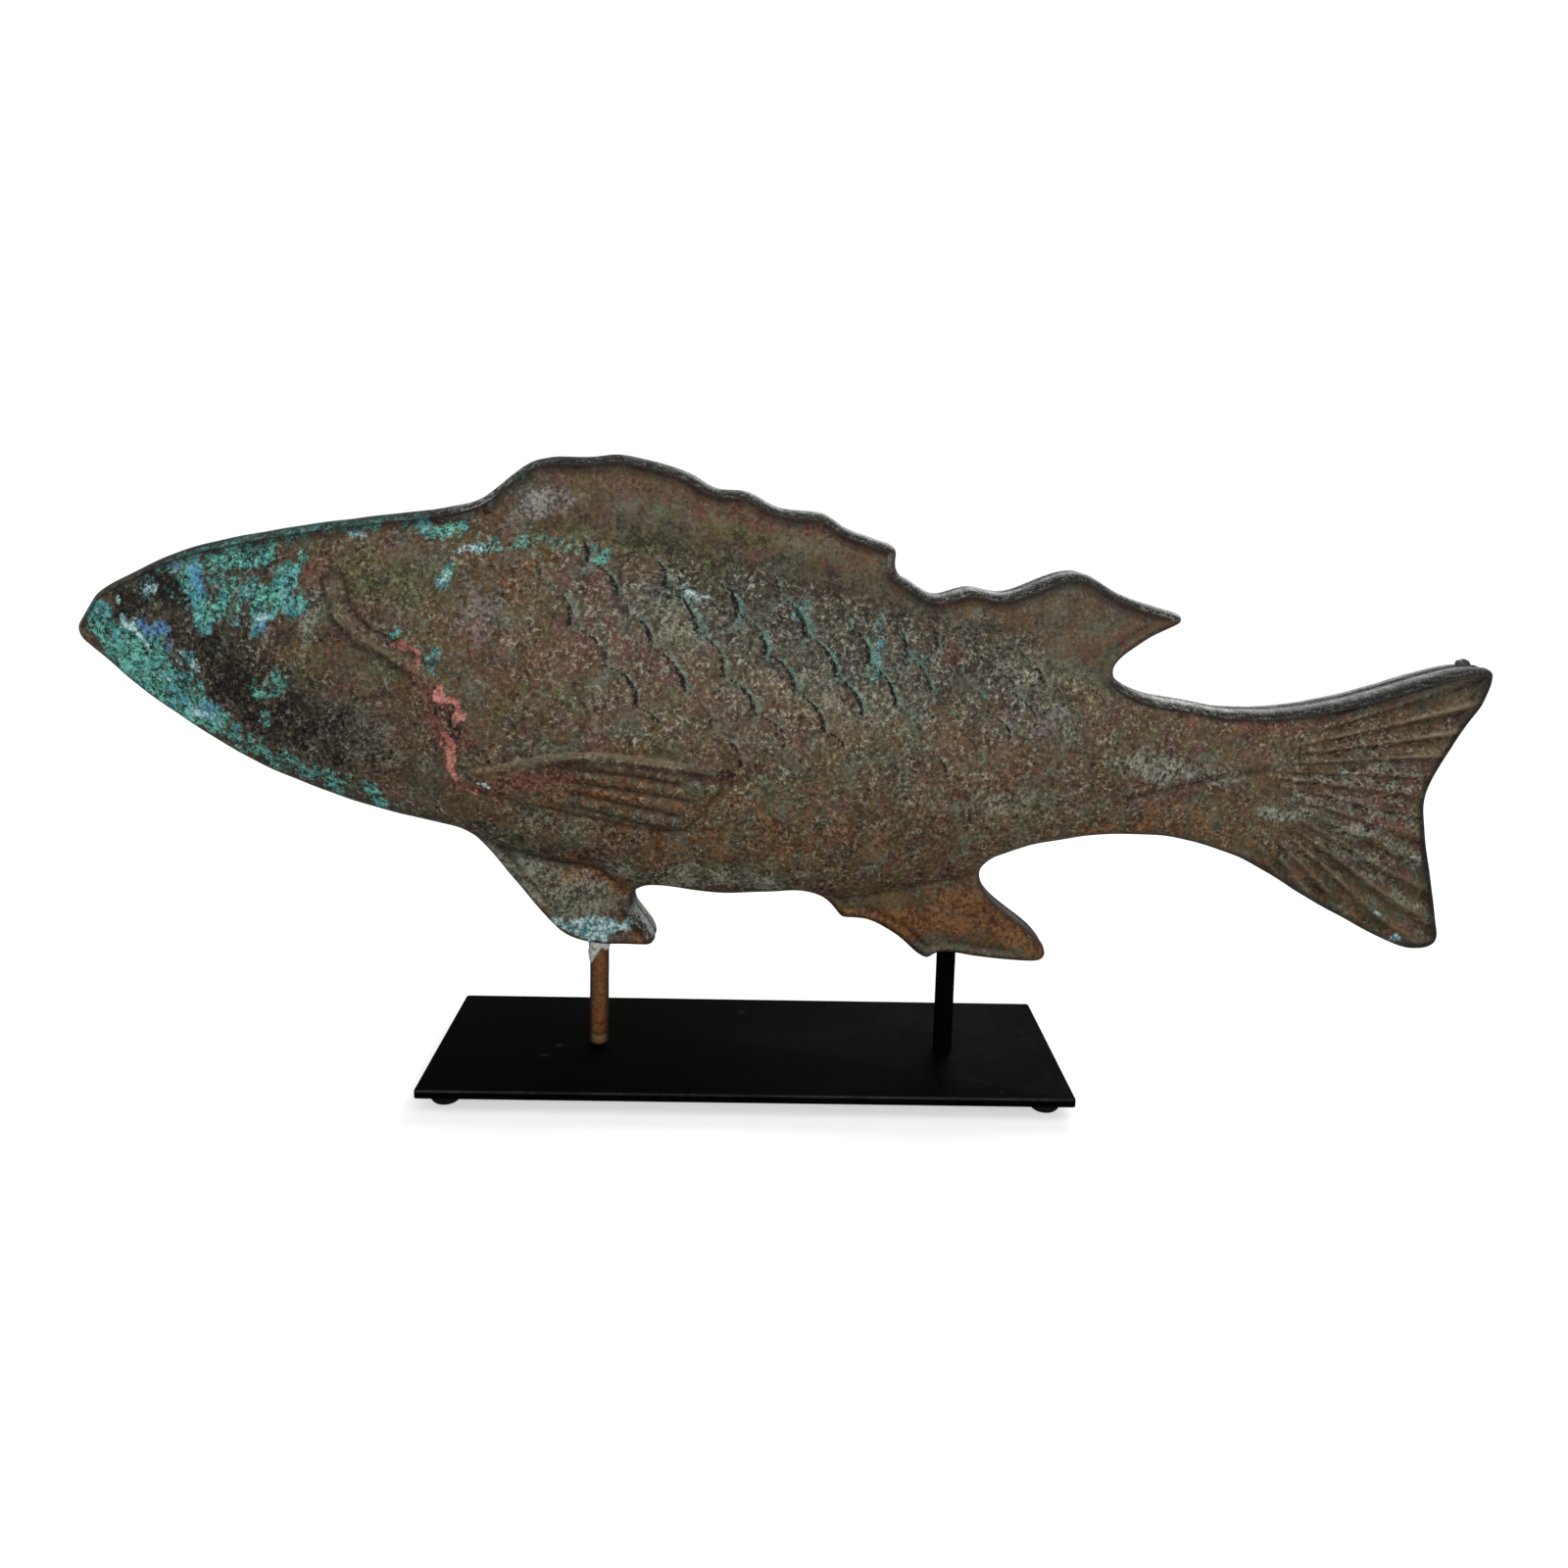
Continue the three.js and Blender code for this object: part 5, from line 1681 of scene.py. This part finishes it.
def scale_shadow_and_deposits(tree, colour, place, flecks):
    """Painted shadow as dark lines behind the scale lips, deposits after them and pale crowns."""
    damp = drawn_map(tree, "damp")
    deposit = lay(tree, (122, 126, 110), (88, 130, 120), damp)
    trough = use(tree, RAGGED, place, cover=drawn_map(tree, "scale_trough"), grain=0.008,
                 raggedness=3.2, edge=0.4)
    colour = lay(tree, colour, deposit, trough * damp.smooth(0, 1, 0.35, 0.65))
    crown = drawn_map(tree, "scale_crown") * out(flecks, "Light")
    colour = lay(tree, colour, PALE_FLECK, crown * 0.5)
    # Painted shadow: a dark line behind each scale's lip.
    shadow = use(tree, RAGGED, place, cover=drawn_map(tree, "scale_shadow"), grain=0.006,
                 raggedness=1, edge=0.25)
    return lay(tree, colour, (16, 14, 12), shadow * 0.97)


def rim_colour(tree, colour, place):
    """Upward edges get grey solder and a painted highlight; creases, folds and low edges painted
    shade.
    """
    along, depth = drawn_map(tree, "rim_along"), drawn_map(tree, "rim_depth")
    strip = put(tree, "ShaderNodeCombineXYZ", {"X": along * 0.3, "Y": depth})
    streaks = noise_at(tree, strip, 0.0016, 4, 0.75)
    grit = noise_at(tree, elsewhere(tree, place, 4), 0.0014, 3, 0.75)
    pale = drawn_map(tree, "rim_pale")
    # Painted highlight: a pale line along the outermost edge of the band.
    outermost = depth.smooth(0.0054, 0.0072, 1, 0)
    level = (outermost * 0.6 + 0.3) * pale + (streaks * 1.5 + grit * 1.3) * (pale * 1.4 + 1)
    band = lay(tree, (24, 25, 24), (160, 163, 156), level.smooth(-0.05, 0.95))
    return laid(
        tree, colour,
        (band, drawn_map(tree, "rim_up") * 0.95),
        # Painted shadow in the crease at the foot of the rim.
        ((22, 14, 12), drawn_map(tree, "rim_crease_shadow") * 0.95),
        # Painted shade along the edges that don't face up.
        ((26, 23, 20), drawn_map(tree, "rim_low_shade") * 0.8),
        # Painted shade in the folds.
        ((16, 13, 11), drawn_map(tree, "fold_shade") * 0.85),
    )


def finish_copper(material):
    """The nodes of the aged copper skin."""
    tree, shader, place = begin(material, 0.25, 0.55, specular=0.2)
    tone = use(tree, MOTTLE, place, coarse=0.012, fine=0.0024, fine_share=0.6)
    flecks = place_group(tree, FLECKS, place, size=0.0026)
    colour = lay(tree, BROWN_DARK, BROWN_MID, tone.smooth(0, 0.6))
    colour = lay(tree, colour, BROWN_LIGHT, tone.smooth(0.55, 1))
    colour = stained(tree, colour, place, tone)
    colour, crust, hidden = patched(tree, colour, place, tone, flecks)
    colour = scale_shadow_and_deposits(tree, colour, place, flecks)
    clumps = noise_at(tree, elsewhere(tree, place, 6), 0.012, 3, 0.6).smooth(-0.16, 0.16, 0.3, 1.4)
    grit = drawn_map(tree, "grit") * hidden.smooth(0, 1, 1, 0.35) * clumps
    # worn: rubbed wear and a painted highlight on the crests of the relief.
    worn = drawn_map(tree, "worn") * out(flecks, "Dark").smooth(0, 1, 1, 0.3)
    colour = laid(
        tree, colour,
        (PALE_FLECK, out(flecks, "Light") * grit * 0.46),
        (DARK_FLECK, out(flecks, "Dark") * grit * 0.8),
        ((158, 146, 118), worn * 0.75),
    )
    fill(tree, shader, base_color=rim_colour(tree, colour, place),
         metallic=crust.smooth(0, 1, 0.25, 0),
         roughness=tone.smooth(0, 1, 0.45, 0.62) + crust * 0.25,
         normal=use(tree, GRAIN, place, strength=0.7))
    print(material.name, "has", len(tree.nodes), "nodes")


finish_copper(AGED_COPPER)

# %% [markdown]
# ## Solder, rod, paint and rubber
# The solder is grey with a little green, and the run at the front rod is whitish, its tones raised
# further as painted light. The front rod is brown and worn at its foot, with painted shade at its
# sides, and the paint is thin and nearly black with a few specks and a painted highlight along the
# plate's top edges. A white studio would show in the paint as a grey veil, so its specular level is
# low, as satin paint with dust on it looks.

# %% The other finishes


def finish_solder(material, dark, light):
    """Grey solder between two tones, with a little green."""
    tree, shader, place = begin(material, 0.3, 0.5)
    tone = use(tree, MOTTLE, place, coarse=0.014, fine=0.0025, fine_share=0.5)
    green = use(tree, RAGGED, place, cover=0.4, grain=0.02)
    flecks = place_group(tree, FLECKS, place, size=0.003)
    colour = laid(tree, lay(tree, dark, light, tone), ((70, 84, 76), green * 0.3),
                  ((22, 20, 18), out(flecks, "Dark") * 0.7))
    fill(tree, shader, base_color=colour, roughness=tone.smooth(0, 1, 0.35, 0.65),
         normal=use(tree, GRAIN, place, strength=0.7))


def finish_rod(material):
    """Brown rod with a worn foot under a dark ring, and painted shade at its sides."""
    tree, shader, place = begin(material, 0.35, 0.45)
    height = put(tree, "ShaderNodeSeparateXYZ", {"Vector": place}, leaves="Z")
    tone = use(tree, MOTTLE, place, coarse=0.012, fine=0.002, fine_share=0.5)
    rust = use(tree, RAGGED, place, cover=0.4, grain=0.01)
    flecks = place_group(tree, FLECKS, place, size=0.0018)
    worn = height.smooth(0.019, 0.0205, 1, 0)
    line = height.smooth(0.0192, 0.0206) * height.smooth(0.0212, 0.0228, 1, 0)
    # Darker at the rod's foot, where it meets the plate.
    darker_foot = height.smooth(0.0135, 0.016, 1, 0)
    # Painted shade: the rod darkens towards its sides as seen.
    painted_side_shade = put(tree, "ShaderNodeLayerWeight", {"Blend": 0.4}, leaves="Facing")
    colour = laid(
        tree, lay(tree, (66, 40, 20), (146, 98, 54), tone),
        ((128, 68, 32), rust * 0.6),
        ((30, 20, 14), out(flecks, "Dark") * 0.6),
        ((124, 104, 78), worn * tone.smooth(0.2, 0.8, 0.3, 0.8)),
        ((26, 18, 12), line * 0.5),
        ((20, 15, 12), darker_foot * 0.85),
        ((26, 17, 10), painted_side_shade.smooth(0.12, 0.6) * 0.85),
    )
    fill(tree, shader, base_color=colour, roughness=tone.smooth(0, 1, 0.35, 0.6),
         normal=use(tree, GRAIN, place, strength=0.6))


def finish_paint(material):
    """Thin black paint with a painted highlight on the plate's top edges and a few specks."""
    tree, shader, place = begin(material, 0, 0.5, specular=0.004)
    tone = use(tree, MOTTLE, place, coarse=0.05, fine=0.004, fine_share=0.35)
    apart = add_node(tree, "ShaderNodeSeparateXYZ", {"Vector": place})
    # Painted highlight: a pale line along the top edges at the plate's front and back.
    at_top = out(apart, "Z").smooth(0.0117, 0.0125) * out(apart, "Z").smooth(0.0131, 0.0134, 1, 0)
    at_edge = out(apart, "Y").math("ABSOLUTE").smooth(0.0622, 0.0630)
    worn = at_top * at_edge * tone.smooth(0.2, 0.9, 0.4, 1)
    dust = use(tree, SPECKLE, place, size=0.007, share=0.015)
    colour = laid(tree, lay(tree, (2, 2, 2), (7, 7, 6), tone), ((58, 58, 64), worn * 0.8),
                  ((46, 42, 38), dust * 0.4))
    fill(tree, shader, base_color=colour, roughness=tone.smooth(0, 1, 0.42, 0.6),
         normal=use(tree, GRAIN, place, size=0.0011, depth=0.00005, strength=0.5))


def finish_rubber(material):
    """Matte black rubber."""
    tree, shader, place = begin(material, 0, 0.8, specular=0.2)
    tone = use(tree, MOTTLE, place, coarse=0.008, fine=0.001, fine_share=0.5)
    fill(tree, shader, base_color=lay(tree, (8, 8, 8), (24, 23, 22), tone),
         normal=use(tree, GRAIN, place, size=0.0008, depth=0.00006))


finish_solder(SOLDER, (14, 14, 13), (88, 90, 84))
# The run's tones are whitish solder, raised further as painted light to offset the shade on its
# side.
finish_solder(BRIGHT_SOLDER, (160, 162, 150), (252, 252, 246))
finish_rod(POST_COPPER)
finish_paint(BLACK_PAINT)
finish_rubber(RUBBER)
print("finishes:", [m.name for m in bpy.data.materials if m.users])

# %% [markdown]
# ## Floor and light
# The fish stands in a white studio. The floor has to read as white without throwing so much light
# up that the belly glows, so only the camera sees it at full white. One wide lamp hangs over the
# fish and lights every edge that faces up, along with the highlight painted on those edges, a
# second stands in front, and a third lights the back for the other views.

# %% Floor
FLOOR_RADIUS = 1.6
FLOOR_SIDES = 64
FLOOR_FADE = 0.8
FLOOR_SEEN, FLOOR_THROWN, FLOOR_GLOW = 0.7, 0.35, 0.74

floor_mesh = bpy.data.meshes.new("floor")
floor_rim = ring((0, 0), FLOOR_RADIUS, 0, FLOOR_SIDES)
floor_mesh.from_pydata(floor_rim.tolist(), [], [range(FLOOR_SIDES)])
floor = new_piece("floor", floor_mesh)
pale = bpy.data.materials.new("pale floor")
floor_mesh.materials.append(pale)
floor_tree, floor_shader, floor_place = begin(pale, 0, 1, specular=0)
seen = put(floor_tree, "ShaderNodeLightPath", leaves="Is Camera Ray")
white = (FLOOR_SEEN, FLOOR_SEEN, FLOOR_SEEN, 1)
grey = (FLOOR_THROWN, FLOOR_THROWN, FLOOR_THROWN, 1)
away = put(floor_tree, "ShaderNodeVectorMath", {"Vector": floor_place},
           operation="LENGTH", leaves="Value")
fill(floor_tree, floor_shader, base_color=lay(floor_tree, grey, white, seen),
     emission_color=white, emission_strength=seen * FLOOR_GLOW,
     alpha=away.smooth(FLOOR_FADE, FLOOR_RADIUS, 1, 0))

# %% Lamps and surroundings
SURROUND_LIGHT = 0.55
SURROUND_SEEN = 1.05
LAMPS = {
    "overhead": ((0, -0.4, 1.6), (0, 0, 0.1), 1.8, 4),
    "front": ((0.3, -2.2, 0.5), (0, 0, 0.2), 1.8, 25),
    "behind": ((0.7, 1.6, 1.2), (0, 0, 0.2), 1.2, 22),
}

for name, (place, target, size, watts) in LAMPS.items():
    lamp = bpy.data.lights.new(name, "AREA")
    lamp.size = size
    lamp.energy = watts
    stand = bpy.data.objects.new(name, lamp)
    aim = (Vector(target) - Vector(place)).to_track_quat("-Z", "Y")
    stand.matrix_world = Matrix.Translation(place) @ aim.to_matrix().to_4x4()
    bpy.context.scene.collection.objects.link(stand)

world = bpy.data.worlds.new("studio")
bpy.context.scene.world = world
world.use_nodes = True
world.node_tree.nodes.clear()
seen = put(world.node_tree, "ShaderNodeLightPath", leaves="Is Camera Ray")
strength = seen.smooth(0, 1, SURROUND_LIGHT, SURROUND_SEEN)
sky = add_node(world.node_tree, "ShaderNodeBackground", {"Strength": strength})
sky.inputs["Color"].default_value = (1, 1, 1, 1)
end = world.node_tree.nodes.new("ShaderNodeOutputWorld")
world.node_tree.links.new(sky.outputs["Background"], end.inputs["Surface"])
bpy.context.scene.view_settings.view_transform = "Standard"
print("lamps:", list(LAMPS))

# %% [markdown]
# ## Ride on one body
# Every piece rides on the one body of this object, and the CAD node it stands for is hidden. A
# table lists that node and a finish name for each piece, though the finish name isn't used here.
# Both boxes are gathered, and the visual one is printed, so that the size can be compared with the
# CAD box printed at the start.

# %% Ride and hide the CAD parts
STANDS_FOR = {
    near_half: ("fish", "fish_copper"),
    far_half: ("fish", "fish_copper"),
    seam: ("fish", "fish_copper"),
    nub: ("fish", "fish_copper"),
    run: ("front_post", "post_copper"),
    front_rod: ("front_post", "post_copper"),
    rear_rod: ("rear_post", "black_steel"),
    plate: ("base_plate", "black_steel"),
    **{piece: (node, "foot_rubber") for node, piece in feet.items()},
}
for piece, (node, finish) in STANDS_FOR.items():
    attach(piece, "root")
    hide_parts(node)
floor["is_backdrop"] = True

boxes = {"cad": [list(corner) for corner in CAD_BOUNDS],
         "visual": [list(corner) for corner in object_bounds()]}
print("visual box, mm:", [[round(v / MM, 1) for v in corner] for corner in boxes["visual"]])
